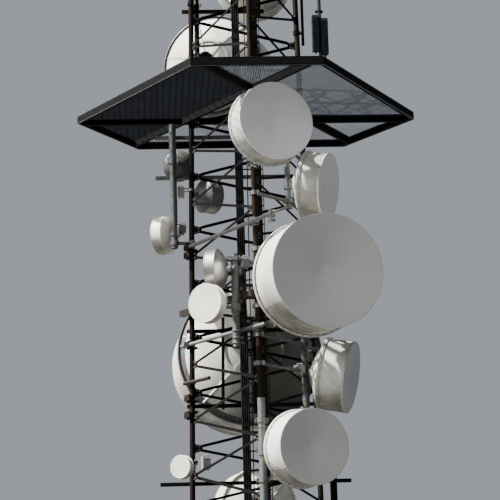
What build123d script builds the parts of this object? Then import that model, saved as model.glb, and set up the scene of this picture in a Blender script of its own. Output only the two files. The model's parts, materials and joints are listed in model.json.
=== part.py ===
from build123d import *
import os
from math import atan2, cos, degrees, radians, sin, sqrt

os.makedirs("parts", exist_ok=True)

UPWARD = (Align.CENTER, Align.CENTER, Align.MIN)

# Tower: three tubular legs that spread towards the ground
TOWER_HEIGHT = 13350.0
PLATFORM_Z = 9800.0
FACE_WIDTH = 1820.0
WIDENING = 0.0358
LEG_OD = 88.9
LEG_WALL = 6.3
SEAT_GAP = 0.3
HEADINGS = {"near": 0.0, "right": 120.0, "left": 240.0}
FACE_HEADINGS = (60.0, 180.0, 300.0)
LEFT_FACE_HEADING = 300.0

# Foot plates and the flat frame that ties them together on the ground
BASE_PLATE = 20.0
BASE_CORNER_R = 190.0
BASE_STRAP = 200.0
FOOT_FLANGE = 20.0
FOOT_R = 155.0
ANCHOR_PCD = 250.0
ANCHOR_COUNT = 4
ANCHOR_TURN = 45.0
ANCHOR_HOLE_R = 14.0
FOOT_HOLE_R = 16.0
RIB_HEIGHT = 120.0
RIB_THICK = 10.0
RIB_COUNT = 4
RIB_FOOT_INSET = 10.0
RIB_TOP_OUT = 8.0

# Bolted flanges between the leg sections
SPLICE_R = 92.0
SPLICE_T = 32.0
SPLICE_STEPS = (7.5, 20.5)
CAP_T = 12.0

# Zigzag bracing: one angle per half pitch, with a gusset at every node
TOP_NODE_Z = 13215.0
HALF_PITCH = 445.8
BRACE_COUNT = 29
BRACE_WIDTH = 42.0
BRACE_THICK = 6.0
BRACE_FLANGE = 36.0
FLANGE_SETBACK = 170.0
GUSSET_REACH = 120.0
GUSSET_HALF = 85.0
TOP_RAIL_DROP = 45.0
BOTTOM_RAIL_Z = 235.0

# Platform: a three-cornered deck with cut corners, on beams that pass outside the legs
DECK_SHORT_HALF = 990.0
DECK_SHORT_OUT = 2650.0
RIM_DEPTH = 130.0
RIM_FLANGE = 55.0
RIM_WALL = 8.0
GRATING_DEPTH = 30.0
BEAM_DEPTH = 100.0
BEAM_WIDTH = 60.0
DECK_GAP = 2.0
GRATING_EDGE = 25.0
GRATING_BAR = 6.0
BEARING_PITCH = 120.0
CROSS_PITCH = 600.0
DECK_SHEET_TURN = 60.0

# Ladder and feeder cables inside the mast
LADDER_X = 25.0
LADDER_Y = -350.0
LADDER_WIDTH = 330.0
LADDER_RAIL = 50.0
LADDER_RAIL_T = 10.0
LADDER_RUNG_R = 11.0
LADDER_PITCH = 300.0
LADDER_FOOT_Z = 400.0
LADDER_TOP_Z = 13200.0
LADDER_STAY_STEPS = (1.5, 5.5, 14.5, 18.5, 22.5, 26.5)
STAY_WIDTH = 30.0
STAY_DEPTH = 12.0
FEEDER_R = 17.0
FEEDER_PITCH = 32.0
FEEDER_FOOT_Z = 600.0
LEFT_FEEDERS = 4
RIGHT_FEEDERS = 3
RIGHT_FEEDERS_X = 120.0

# Antennas: a spun reflector with a rim flange, a drum shroud and a stretched cover
REFLECTOR_WALL = 4.0
SHROUD_WALL = 4.0
RIM_RING = 22.0
RIM_RING_T = 10.0
COVER_T = 6.0
COVER_BAND = 14.0
COVER_LIP = 24.0
COVER_OUT = 4.0
COVER_RECESS = 0.06

# Brackets, collars, pipes and bars that carry the antennas
BACK_PLATE_T = 15.0
BOSS_LENGTH = 55.0
BOSS_SHARE = 0.6
ARM_R = 28.0
SMALL_ARM_R = 20.0
COLLAR_HEIGHT = 70.0
SMALL_COLLAR = 40.0
COLLAR_WALL = 14.0
NARROW_PIPE = 88.9
WIDE_PIPE = 114.3
PIPE_WALL = 5.0
DRILL_MARGIN = 10.0
BAR_DEPTH = 50.0
BAR_HEIGHT = 60.0
OUTRIGGER = 100.0
OUTRIGGER_START = 30.0
OUTRIGGER_END = 160.0
OUTRIGGER_Z = 6490.0
BEHIND_LEG_STEP = 10.5
TINY_ARM_Z = 3998.0
SPARE_PIPE_X = 1250.0
SPARE_PIPE_LOW = 3000.0
SPARE_PIPE_HIGH = 3830.0
SPARE_PIPE_SINK = 3.0
SPARE_BAR_UNDER = 3710.0

# Sway tubes outside the left face
STRUT_R = 30.0
STRUT_CLEAR = 5.0
LINK_R = 22.0
UPPER_STRUT_LEFT_Z = 7570.0
UPPER_STRUT_NEAR_Z = 7620.0
UPPER_STRUT_PAST_LEFT = 80.0
UPPER_STRUT_PAST_NEAR = 550.0
STRUT_POST_BELOW = 150.0
STRUT_POST_ABOVE = 60.0
LOWER_STRUT_LEFT_Z = 5965.0
LOWER_STRUT_NEAR_Z = 5970.0
LOWER_STRUT_PAST_LEFT = 200.0
LOWER_STRUT_PAST_NEAR = 300.0
STUB_Z = 5350.0
STUB_PAST_LEFT = 120.0
STUB_REACH = 650.0

# Thin pole beside the right leg, and the equipment cases at the platform's corner
SIDE_POLE_AT = (990.0, 543.0)
SIDE_POLE_LOW = 11000.0
SIDE_POLE_HIGH = 13250.0
SIDE_POLE_R = 24.0
SIDE_POLE_STEPS = (0.5, 2.5, 4.5)
RADIO_POLE_AT = (970.0, -2500.0)
RADIO_POLE_TOP = 11150.0
RADIO_POLE_R = 28.0
RADIO_FOOT = 160.0
RADIO_FOOT_T = 10.0
RADIO_CASE = (95.0, 130.0, 550.0)
RADIO_CASE_SINK = 5.0
RADIO_LEFT_Z = 9920.0
RADIO_RIGHT_Z = 9870.0
RADIO_HEAD = 140.0
RADIO_HEAD_DROP = 60.0


def heading_vector(heading, tilt=0.0):
    """Unit vector: heading 0 looks along -Y and grows towards +X, tilt is upwards."""
    level = cos(radians(tilt))
    return Vector(
        level * sin(radians(heading)),
        -level * cos(radians(heading)),
        sin(radians(tilt)),
    )


def leg_spacing(z):
    return FACE_WIDTH + WIDENING * (PLATFORM_Z - z)


def leg_point(leg, z):
    radius = leg_spacing(z) / sqrt(3)
    direction = heading_vector(HEADINGS[leg])
    return Vector(direction.X * radius, direction.Y * radius, z)


def node_z(step):
    """Height of a bracing node, counted in half pitches down from the top."""
    return TOP_NODE_Z - HALF_PITCH * step


def bar_plane(start, end):
    return Plane(origin=start, z_dir=end - start)


def rod(start, end, radius):
    length = (end - start).length
    return bar_plane(start, end) * Cylinder(radius, length, align=UPWARD)


def flat_bar(start, end, width, depth):
    """Bar of rectangular section: width lies level, depth stands upright."""
    along = end - start
    level = Vector(0, 0, 1).cross(along)
    plane = Plane(origin=start, x_dir=level, z_dir=along)
    return plane * Box(width, depth, along.length, align=UPWARD)


def leg_rod(leg, z_low, z_high, radius):
    return rod(leg_point(leg, z_low), leg_point(leg, z_high), radius)


def level_slab(z_low, z_high):
    wide = 4 * FACE_WIDTH
    return Pos(0, 0, z_low) * Box(wide, wide, z_high - z_low, align=UPWARD)


def write(node, shape):
    export_step(shape, f"parts/{node}.step")


def around_leg(leg, z, shape):
    centre = leg_point(leg, z)
    return Pos(centre.X, centre.Y, z) * Rot(0, 0, HEADINGS[leg]) * shape


def anchor_holes(depth, radius):
    drill = Cylinder(radius, depth, align=UPWARD)
    return [place * drill for place in PolarLocations(ANCHOR_PCD / 2, ANCHOR_COUNT, start_angle=ANCHOR_TURN)]


def make_leg(leg):
    foot_top = BASE_PLATE + FOOT_FLANGE
    spare = 2 * LEG_OD
    tube = leg_rod(leg, foot_top - spare, TOWER_HEIGHT + spare, LEG_OD / 2)
    body = tube & level_slab(foot_top, TOWER_HEIGHT)
    disc = Cylinder(FOOT_R, FOOT_FLANGE, align=UPWARD)
    for hole in anchor_holes(FOOT_FLANGE, FOOT_HOLE_R):
        disc -= hole
    body += around_leg(leg, BASE_PLATE, disc)
    with BuildPart() as rib:
        with BuildSketch(Plane.XZ):
            Polygon(
                (0, 0),
                (FOOT_R - RIB_FOOT_INSET, 0),
                (LEG_OD / 2 + RIB_TOP_OUT, RIB_HEIGHT),
                (0, RIB_HEIGHT),
                align=None,
            )
        extrude(amount=RIB_THICK / 2, both=True)
    for turn in range(RIB_COUNT):
        turned = Rot(0, 0, 360.0 / RIB_COUNT * turn) * rib.part
        body += around_leg(leg, foot_top, turned)
    for step in SPLICE_STEPS:
        z = node_z(step)
        body += leg_rod(leg, z - SPLICE_T / 2, z + SPLICE_T / 2, SPLICE_R)
    bore = leg_rod(leg, foot_top - spare, TOWER_HEIGHT + spare, LEG_OD / 2 - LEG_WALL)
    body -= bore & level_slab(foot_top, TOWER_HEIGHT - CAP_T)
    return body


def make_base_frame():
    corners = [leg_point(leg, 0) for leg in HEADINGS]
    with BuildSketch() as frame:
        for corner in corners:
            with Locations((corner.X, corner.Y)):
                Circle(BASE_CORNER_R)
        for start, end in zip(corners, corners[1:] + corners[:1]):
            along = end - start
            middle = (start + end) / 2
            with Locations(Location((middle.X, middle.Y, 0), (0, 0, degrees(atan2(along.Y, along.X))))):
                Rectangle(along.length, BASE_STRAP)
    plate = extrude(frame.sketch, amount=BASE_PLATE)
    for leg in HEADINGS:
        for hole in anchor_holes(BASE_PLATE, ANCHOR_HOLE_R):
            plate -= around_leg(leg, 0, hole)
    return plate


def make_bracing(leg_a, leg_b):
    """One face: a zigzag of angles in the plane of its two legs, fused at gussets."""
    foot_a, foot_b = leg_point(leg_a, 0), leg_point(leg_b, 0)
    top_a, top_b = leg_point(leg_a, TOWER_HEIGHT), leg_point(leg_b, TOWER_HEIGHT)
    foot_mid, top_mid = (foot_a + foot_b) / 2, (top_a + top_b) / 2
    slope = (top_mid - foot_mid).length / TOWER_HEIGHT
    across = foot_b - foot_a
    up = top_mid - foot_mid
    plane = Plane(origin=foot_mid, x_dir=across, z_dir=across.cross(up))
    lean = atan2((leg_spacing(0) - leg_spacing(TOWER_HEIGHT)) / 2, TOWER_HEIGHT * slope)
    clear = (LEG_OD / 2 + SEAT_GAP) / cos(lean)

    def edge(v):
        return leg_spacing(v / slope) / 2 - clear

    def node(step):
        v = node_z(step) * slope
        side = 1 if step % 2 == 0 else -1
        return Vector(side * leg_spacing(node_z(step)) / 2, v)

    def rail(z):
        v = z * slope
        return [Vector(-leg_spacing(z) / 2, v), Vector(leg_spacing(z) / 2, v)]

    bars = [(node(step), node(step + 1)) for step in range(BRACE_COUNT)]
    rails = [rail(TOWER_HEIGHT - TOP_RAIL_DROP), rail(BOTTOM_RAIL_Z)]
    with BuildSketch() as web:
        for start, end in bars + rails:
            along = end - start
            middle = (start + end) / 2
            with Locations(Location((middle.X, middle.Y, 0), (0, 0, degrees(atan2(along.Y, along.X))))):
                Rectangle(along.length, BRACE_WIDTH)
        for step in range(BRACE_COUNT + 1):
            root = node(step)
            inward = -1 if root.X > 0 else 1
            tip = root.X + inward * (GUSSET_REACH + LEG_OD / 2)
            Polygon(
                (root.X, root.Y - GUSSET_HALF),
                (tip, root.Y - BRACE_WIDTH),
                (tip, root.Y + BRACE_WIDTH),
                (root.X, root.Y + GUSSET_HALF),
                align=None,
            )
        low, high = 0.0, TOWER_HEIGHT * slope
        Polygon(
            (-edge(low), low),
            (edge(low), low),
            (edge(high), high),
            (-edge(high), high),
            align=None,
            mode=Mode.INTERSECT,
        )
    with BuildSketch() as flanges:
        for start, end in bars:
            along = end - start
            middle = (start + end) / 2
            turn = degrees(atan2(along.Y, along.X))
            if turn > 90:
                turn -= 180
            if turn < -90:
                turn += 180
            with Locations(Location((middle.X, middle.Y, 0), (0, 0, turn))):
                with Locations((0, (BRACE_WIDTH - BRACE_THICK) / 2)):
                    Rectangle(along.length - 2 * FLANGE_SETBACK, BRACE_THICK)
    body = extrude(web.sketch, amount=BRACE_THICK / 2, both=True)
    body += extrude(flanges.sketch, amount=-BRACE_FLANGE - BRACE_THICK / 2)
    return plane * body


def deck_corners(short_half, short_out):
    """Outline of the deck: a short side out beyond each leg, long sides between."""
    corners = []
    for heading in HEADINGS.values():
        out = heading_vector(heading)
        along = heading_vector(heading + 90)
        corners.append(out * short_out - along * short_half)
        corners.append(out * short_out + along * short_half)
    return [(corner.X, corner.Y) for corner in corners]


def deck_outline(inset):
    return offset(make_face(Polyline(*deck_corners(DECK_SHORT_HALF, DECK_SHORT_OUT), close=True)), -inset)


def beam_offset():
    """Distance of a beam's middle from the mast's axis, just clear of the legs."""
    lowest = PLATFORM_Z - RIM_DEPTH
    return leg_spacing(lowest) / (2 * sqrt(3)) + LEG_OD / 2 + SEAT_GAP + BEAM_WIDTH / 2


def channel_profile(width, depth, wall):
    """Channel with its web on the inner side and its top edge at zero."""
    with BuildSketch() as profile:
        with Locations((0, -depth / 2)):
            Rectangle(width, depth)
            with Locations((wall, 0)):
                Rectangle(width, depth - 2 * wall, mode=Mode.SUBTRACT)
    return profile.sketch


def make_platform_rim():
    """The channel round the deck, open inwards, with a ledge that the deck lies on."""
    low = PLATFORM_Z - RIM_DEPTH
    ledge = PLATFORM_Z - GRATING_DEPTH - RIM_WALL
    wall = deck_outline(0) - deck_outline(RIM_WALL)
    flange = deck_outline(0) - deck_outline(RIM_FLANGE)
    rim = Pos(0, 0, low) * extrude(wall, amount=RIM_DEPTH)
    rim += Pos(0, 0, low) * extrude(flange, amount=RIM_WALL)
    rim += Pos(0, 0, ledge) * extrude(flange, amount=RIM_WALL)
    return rim


def make_platform_beams():
    """Three channels past the legs, fused where they cross, that end at the rim's flanges."""
    top = PLATFORM_Z - GRATING_DEPTH
    reach = 2 * DECK_SHORT_OUT
    inside = Pos(0, 0, top - BEAM_DEPTH) * extrude(deck_outline(RIM_FLANGE + SEAT_GAP), amount=BEAM_DEPTH)
    section = channel_profile(BEAM_WIDTH, BEAM_DEPTH, RIM_WALL)
    beams = Part()
    for heading in FACE_HEADINGS:
        out = heading_vector(heading)
        along = heading_vector(heading + 90)
        start = out * beam_offset() - along * (reach / 2) + Vector(0, 0, top)
        beam = extrude(Plane(origin=start, x_dir=-out, z_dir=along) * section, amount=reach)
        beams += beam & inside
    return beams


def deck_panels():
    """The deck, divided along the beams, as faces keyed by where they lie."""
    region = deck_outline(RIM_WALL + DECK_GAP)
    for heading in FACE_HEADINGS:
        out = heading_vector(heading)
        centre = out * beam_offset()
        strip = Location((centre.X, centre.Y, 0), (0, 0, heading)) * Rectangle(3 * DECK_SHORT_OUT, DECK_GAP)
        region -= strip
    names = {0: "near", 60: "right_front", 120: "right", 180: "back", 240: "left", 300: "left_front"}
    panels = {}
    for face in region.faces():
        centre = face.center()
        if sqrt(centre.X**2 + centre.Y**2) < beam_offset() / 2:
            continue
        heading = round(degrees(atan2(centre.X, -centre.Y)) / 60) * 60 % 360
        panels[names[heading]] = face
    return panels


def make_grating(face):
    """Welded bar grating: an edge band, bearing bars and wider cross bars, all sheets laid one way."""
    rim = face - offset(face, -GRATING_EDGE)
    span = 2 * DECK_SHORT_OUT
    with BuildSketch() as bars:
        with Locations(Location((0, 0, 0), (0, 0, DECK_SHEET_TURN))):
            with GridLocations(BEARING_PITCH, 1, int(span / BEARING_PITCH), 1):
                Rectangle(GRATING_BAR, span)
            with GridLocations(1, CROSS_PITCH, 1, int(span / CROSS_PITCH)):
                Rectangle(span, GRATING_BAR)
    mesh = rim + (bars.sketch & face)
    return Pos(0, 0, PLATFORM_Z - GRATING_DEPTH) * extrude(mesh, amount=GRATING_DEPTH)


def make_ladder():
    half = LADDER_WIDTH / 2
    length = LADDER_TOP_Z - LADDER_FOOT_Z
    upright = Box(LADDER_RAIL_T, LADDER_RAIL, length, align=UPWARD)
    ladder = Part()
    for side in (-half, half):
        ladder += Pos(LADDER_X + side, LADDER_Y, LADDER_FOOT_Z) * upright
    rungs = int(length / LADDER_PITCH)
    for rung in range(rungs):
        z = LADDER_FOOT_Z + LADDER_PITCH * (rung + 0.5)
        start, end = Vector(LADDER_X - half, LADDER_Y, z), Vector(LADDER_X + half, LADDER_Y, z)
        ladder += rod(start, end, LADDER_RUNG_R)
    return ladder


def make_ladder_stays():
    """Crossbars behind the ladder, each with a stay to the near leg."""
    reach = LADDER_WIDTH / 2 + LADDER_RAIL_T / 2
    y = LADDER_Y - LADDER_RAIL / 2 - SEAT_GAP - STAY_WIDTH / 2
    stays = []
    for step in LADDER_STAY_STEPS:
        z = node_z(step)
        leg = leg_point("near", z)
        start, end = Vector(LADDER_X - reach, y, z), Vector(LADDER_X + reach, y, z)
        crossbar = flat_bar(start, end, STAY_WIDTH, STAY_DEPTH)
        link = flat_bar(Vector(0, y, z), Vector(leg.X, leg.Y, z), STAY_WIDTH, STAY_DEPTH)
        stays.append(crossbar + (link - leg_bore("near", z, LEG_OD)))
    return Compound(children=stays)


def make_feeders(x, carrier, count):
    """A flat bundle of straight feeder cables strapped behind what carries it."""
    y = LADDER_Y + carrier + FEEDER_R + SEAT_GAP
    with BuildSketch() as bundle:
        with GridLocations(FEEDER_PITCH, 1, count, 1):
            Circle(FEEDER_R)
    return Pos(x, y, FEEDER_FOOT_Z) * extrude(bundle.sketch, amount=LADDER_TOP_Z - FEEDER_FOOT_Z)


class Antenna:
    """A shrouded dish, placed by the middle of its rim, facing along its heading."""

    def __init__(self, rim, heading, tilt, diameter, shroud, depth, hub_r, hub_length):
        self.direction = heading_vector(heading, tilt)
        self.radius = diameter / 2
        self.shroud = shroud
        self.depth = depth
        self.hub_r = hub_r
        self.origin = Vector(*rim)
        self.plane = Plane(origin=self.origin, z_dir=self.direction)
        self.back = -depth - REFLECTOR_WALL - hub_length
        self.bowl_r = (self.radius**2 + depth**2) / (2 * depth)

    def bowl(self, radius, wall=0.0):
        """Height of the reflector above the rim: a round bowl, or its back for a wall."""
        sphere = self.bowl_r + wall
        return self.bowl_r - self.depth - sqrt(sphere**2 - radius**2)

    def bowl_arc(self, start, end, wall=0.0):
        middle = (start + end) / 2
        return ThreePointArc(
            (start, self.bowl(start, wall)),
            (middle, self.bowl(middle, wall)),
            (end, self.bowl(end, wall)),
        )

    def shell(self):
        rim, hub = self.radius, self.hub_r
        inner = rim - SHROUD_WALL
        low = self.bowl(rim, REFLECTOR_WALL)
        with BuildPart() as shell:
            with BuildSketch(Plane.XZ):
                with BuildLine():
                    Polyline(
                        (0, self.bowl(0)),
                        (0, self.back),
                        (hub, self.back),
                        (hub, self.bowl(hub, REFLECTOR_WALL)),
                    )
                    self.bowl_arc(hub, rim, REFLECTOR_WALL)
                    Polyline(
                        (rim, low),
                        (rim + RIM_RING, low),
                        (rim + RIM_RING, RIM_RING_T),
                        (rim, RIM_RING_T),
                        (rim, self.shroud),
                        (inner, self.shroud),
                        (inner, self.bowl(inner)),
                    )
                    self.bowl_arc(inner, 0)
                make_face()
            revolve(axis=Axis.Z)
        return self.plane * shell.part

    def cover(self):
        """The stretched front: a shallow cone with a lip over the shroud's edge."""
        rim, edge = self.radius, self.shroud
        recess = COVER_RECESS * 2 * rim
        flat = rim - COVER_BAND - SHROUD_WALL
        lip_in, lip_out = rim + SEAT_GAP, rim + COVER_OUT
        with BuildPart() as cover:
            with BuildSketch(Plane.XZ):
                Polygon(
                    (0, edge - recess),
                    (flat, edge),
                    (lip_in, edge),
                    (lip_in, edge - COVER_LIP),
                    (lip_out, edge - COVER_LIP),
                    (lip_out, edge + COVER_T),
                    (flat, edge + COVER_T),
                    (0, edge + COVER_T - recess),
                    align=None,
                )
            revolve(axis=Axis.Z)
        return self.plane * cover.part

    def drum(self):
        """A small closed antenna in one piece, with a plain front."""
        rim, hub = self.radius, self.hub_r
        with BuildPart() as drum:
            with BuildSketch(Plane.XZ):
                with BuildLine():
                    Polyline((0, self.shroud), (0, self.back), (hub, self.back), (hub, self.bowl(hub)))
                    self.bowl_arc(hub, rim)
                    Polyline((rim, self.bowl(rim)), (rim, self.shroud), (0, self.shroud))
                make_face()
            revolve(axis=Axis.Z)
        return self.plane * drum.part

    def seat(self):
        """Middle of the hub's flat back."""
        return self.origin + self.direction * self.back


def leg_bore(leg, z, reach):
    return leg_rod(leg, z - reach, z + reach, LEG_OD / 2 + SEAT_GAP)


def leg_collar(leg, z, height=COLLAR_HEIGHT):
    return leg_rod(leg, z - height / 2, z + height / 2, LEG_OD / 2 + SEAT_GAP + COLLAR_WALL)


class BackBar:
    """Bar along the back of the mast, resting against the two rear legs."""

    def __init__(self, z, left, right):
        self.z = z
        self.left = left
        self.right = right

    def solid(self):
        seat = leg_point("left", self.z - BAR_HEIGHT / 2).Y + LEG_OD / 2
        middle = Pos((self.left + self.right) / 2, seat + BAR_DEPTH / 2, self.z)
        bar = middle * Box(self.right - self.left, BAR_DEPTH, BAR_HEIGHT)
        for leg in ("left", "right"):
            bar -= leg_bore(leg, self.z, BAR_HEIGHT)
        return bar


class Mount:
    """A pipe with a bracket to each antenna hub, and stays or bars to the legs."""

    def __init__(self, x, y, low, high, outer, antennas, stay_steps=(), legs=(), bars=()):
        self.x = x
        self.y = y
        self.low = low
        self.high = high
        self.radius = outer / 2
        self.antennas = antennas
        self.stays = [(leg, node_z(step)) for leg in legs for step in stay_steps]
        self.bars = bars

    def at(self, z):
        return Vector(self.x, self.y, z)

    def band(self, z, height):
        return rod(self.at(z - height / 2), self.at(z + height / 2), self.radius + COLLAR_WALL)

    def solid(self):
        mount = rod(self.at(self.low), self.at(self.high), self.radius)
        for name in self.antennas:
            antenna = ANTENNAS[name]
            seat = antenna.seat()
            plate = Plane(origin=seat, z_dir=-antenna.direction)
            mount += plate * Cylinder(antenna.hub_r, BACK_PLATE_T, align=UPWARD)
            mount += plate * Cylinder(BOSS_SHARE * antenna.hub_r, BOSS_LENGTH, align=UPWARD)
            elbow = seat - antenna.direction * (BOSS_LENGTH - ARM_R / 2)
            mount += rod(elbow, self.at(elbow.Z), ARM_R)
            mount += self.band(elbow.Z, 2 * COLLAR_HEIGHT)
        for leg, z in self.stays:
            mount += rod(self.at(z), leg_point(leg, z), ARM_R)
            mount += self.band(z, COLLAR_HEIGHT)
            mount += leg_collar(leg, z)
        for bar in self.bars:
            mount += bar.solid()
        for leg, z in self.stays:
            mount -= leg_bore(leg, z, LEG_OD)
        mount -= rod(self.at(self.low), self.at(self.high), self.radius - PIPE_WALL)
        return mount


def make_outrigger():
    """A square beam that lies against the outside of the left face."""
    near, left = leg_point("near", OUTRIGGER_Z), leg_point("left", OUTRIGGER_Z)
    along = (left - near).normalized()
    out = heading_vector(LEFT_FACE_HEADING) * (LEG_OD / 2 + OUTRIGGER / 2)
    start = near + out - along * OUTRIGGER_START
    end = left + out + along * OUTRIGGER_END
    beam = flat_bar(start, end, OUTRIGGER, OUTRIGGER)
    for leg in ("near", "left"):
        beam -= leg_bore(leg, OUTRIGGER_Z, OUTRIGGER)
    return beam


def left_face_tube(z_left, z_near, past_left, past_near, collars=("left", "near")):
    """A tube outside the left face, held by collars, and the place of its end on the near side."""
    shift = heading_vector(LEFT_FACE_HEADING) * (LEG_OD / 2 + STRUT_CLEAR + STRUT_R)
    left, near = leg_point("left", z_left), leg_point("near", z_near)
    along = (near - left).normalized()
    end = near + along * past_near + shift
    tube = rod(left - along * past_left + shift, end, STRUT_R)
    heights = {"left": z_left, "near": z_near}
    for leg in collars:
        tube += leg_collar(leg, heights[leg], SMALL_COLLAR)
    return tube, end


def left_face_bores(tube, z_left, z_near):
    for leg, z in (("left", z_left), ("near", z_near)):
        tube -= leg_bore(leg, z, LEG_OD)
    return tube


def make_strut_upper(mount):
    """The sway tube by the biggest dish, linked to the foot of a pipe on the right face."""
    tube, end = left_face_tube(
        UPPER_STRUT_LEFT_Z, UPPER_STRUT_NEAR_Z, UPPER_STRUT_PAST_LEFT, UPPER_STRUT_PAST_NEAR
    )
    link_z = mount.low + SMALL_COLLAR
    band_top = link_z + SMALL_COLLAR
    tube += rod(end, mount.at(link_z), LINK_R)
    tube += rod(end - Vector(0, 0, STRUT_POST_BELOW), end + Vector(0, 0, STRUT_POST_ABOVE), STRUT_R)
    tube += rod(mount.at(mount.low), mount.at(band_top), mount.radius + COLLAR_WALL)
    drill_low, drill_high = mount.low - DRILL_MARGIN, band_top + DRILL_MARGIN
    tube -= rod(mount.at(drill_low), mount.at(drill_high), mount.radius + SEAT_GAP)
    return left_face_bores(tube, UPPER_STRUT_LEFT_Z, UPPER_STRUT_NEAR_Z)


def make_struts_lower():
    """A second sway tube, and a short stub on the left leg below it."""
    tube, _ = left_face_tube(
        LOWER_STRUT_LEFT_Z, LOWER_STRUT_NEAR_Z, LOWER_STRUT_PAST_LEFT, LOWER_STRUT_PAST_NEAR
    )
    tube = left_face_bores(tube, LOWER_STRUT_LEFT_Z, LOWER_STRUT_NEAR_Z)
    short = STUB_REACH - leg_spacing(STUB_Z)
    stub, _ = left_face_tube(STUB_Z, STUB_Z, STUB_PAST_LEFT, short, collars=("left",))
    return Compound(children=[tube, left_face_bores(stub, STUB_Z, STUB_Z)])


def make_leg_arm(antenna, leg, z):
    """A short arm that holds a small antenna straight on a leg's collar."""
    seat = antenna.seat()
    plate = Plane(origin=seat, z_dir=-antenna.direction)
    elbow = seat - antenna.direction * BOSS_LENGTH / 2
    arm = plate * Cylinder(antenna.hub_r, BACK_PLATE_T, align=UPWARD)
    arm += plate * Cylinder(BOSS_SHARE * antenna.hub_r, BOSS_LENGTH, align=UPWARD)
    arm += rod(elbow, leg_point(leg, z), SMALL_ARM_R)
    arm += leg_collar(leg, z, SMALL_COLLAR)
    return arm - leg_bore(leg, z, LEG_OD)


def make_side_pole():
    """A thin pole beside the top of the right leg."""
    x, y = SIDE_POLE_AT
    pole = rod(Vector(x, y, SIDE_POLE_LOW), Vector(x, y, SIDE_POLE_HIGH), SIDE_POLE_R)
    for step in SIDE_POLE_STEPS:
        z = node_z(step)
        pole += rod(Vector(x, y, z), leg_point("right", z), SMALL_ARM_R)
        pole += leg_collar("right", z)
        pole -= leg_bore("right", z, LEG_OD)
    return pole


def make_radio_stand():
    """Two equipment cases on a pole at the platform's front corner."""
    x, y = RADIO_POLE_AT
    foot = PLATFORM_Z + SEAT_GAP
    stand = Pos(x, y, foot) * Box(RADIO_FOOT, RADIO_FOOT, RADIO_FOOT_T, align=UPWARD)
    stand += rod(Vector(x, y, foot), Vector(x, y, RADIO_POLE_TOP), RADIO_POLE_R)
    width, depth, height = RADIO_CASE
    reach = RADIO_POLE_R + width / 2 - RADIO_CASE_SINK
    stand += Pos(x - reach, y, RADIO_LEFT_Z) * Box(width, depth, height, align=UPWARD)
    stand += Pos(x + reach, y, RADIO_RIGHT_Z) * Box(width, depth, height, align=UPWARD)
    stand += Pos(x, y, RADIO_POLE_TOP - RADIO_HEAD_DROP) * Box(RADIO_HEAD, RADIO_HEAD / 2, RADIO_HEAD / 2)
    return stand


def make_spare_pipe():
    """A bare pipe behind the right end of the lowest long bar."""
    y = leg_point("left", SPARE_BAR_UNDER).Y + LEG_OD / 2 + BAR_DEPTH + WIDE_PIPE / 2 - SPARE_PIPE_SINK
    low, high = Vector(SPARE_PIPE_X, y, SPARE_PIPE_LOW), Vector(SPARE_PIPE_X, y, SPARE_PIPE_HIGH)
    drill = Vector(0, 0, DRILL_MARGIN)
    return rod(low, high, WIDE_PIPE / 2) - rod(low - drill, high + drill, WIDE_PIPE / 2 - PIPE_WALL)


# Shrouded dishes, by the middle of the rim
DISHES = {
    "top_front": Antenna(
        rim=(190, -1648, 8994), heading=19.7, tilt=1, diameter=1200,
        shroud=357, depth=220, hub_r=90, hub_length=60,
    ),
    "upper_right": Antenna(
        rim=(900, -561, 8312), heading=67.6, tilt=-8, diameter=1060,
        shroud=330, depth=200, hub_r=80, hub_length=50,
    ),
    "big": Antenna(
        rim=(812, -1050, 6719), heading=14, tilt=-2, diameter=1750,
        shroud=880, depth=330, hub_r=130, hub_length=80,
    ),
    "lower_front": Antenna(
        rim=(546, -1525, 4059), heading=21.9, tilt=-1, diameter=1122,
        shroud=474, depth=220, hub_r=90, hub_length=70,
    ),
    "lower_right": Antenna(
        rim=(1118, -119, 5358), heading=72.7, tilt=-11, diameter=1130,
        shroud=400, depth=200, hub_r=90, hub_length=60,
    ),
    "top_left": Antenna(
        rim=(-511, 1106, 10841), heading=160, tilt=0, diameter=1700,
        shroud=800, depth=330, hub_r=130, hub_length=80,
    ),
    "top_rear": Antenna(
        rim=(240, 1230, 12450), heading=180, tilt=0, diameter=1300,
        shroud=420, depth=230, hub_r=100, hub_length=60,
    ),
    "rear_large": Antenna(
        rim=(-8, 1270, 5904), heading=185.7, tilt=-5, diameter=2360,
        shroud=1000, depth=430, hub_r=150, hub_length=90,
    ),
    "bottom": Antenna(
        rim=(71, 1298, 3359), heading=196.7, tilt=0, diameter=1270,
        shroud=450, depth=230, hub_r=90, hub_length=60,
    ),
}

# Small closed antennas
DRUMS = {
    "left_small": Antenna(
        rim=(-1306, 760, 7837), heading=-119.5, tilt=0, diameter=620,
        shroud=190, depth=130, hub_r=50, hub_length=44,
    ),
    "mid_small": Antenna(
        rim=(-569, -1012, 6903), heading=-108.3, tilt=0, diameter=630,
        shroud=170, depth=130, hub_r=50, hub_length=44,
    ),
    "white_small": Antenna(
        rim=(-735, -1278, 6309), heading=-35.3, tilt=0, diameter=590,
        shroud=150, depth=120, hub_r=50, hub_length=44,
    ),
    "behind_leg": Antenna(
        rim=(-735, 1020, 8550), heading=121.7, tilt=0, diameter=560,
        shroud=240, depth=120, hub_r=50, hub_length=44,
    ),
    "far_left": Antenna(
        rim=(-1135, 870, 9045), heading=176.7, tilt=0, diameter=500,
        shroud=130, depth=110, hub_r=50, hub_length=44,
    ),
    "tiny": Antenna(
        rim=(-1160, 60, 3960), heading=-33.3, tilt=0, diameter=358,
        shroud=110, depth=70, hub_r=40, hub_length=34,
    ),
}
ANTENNAS = DISHES | DRUMS

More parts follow.
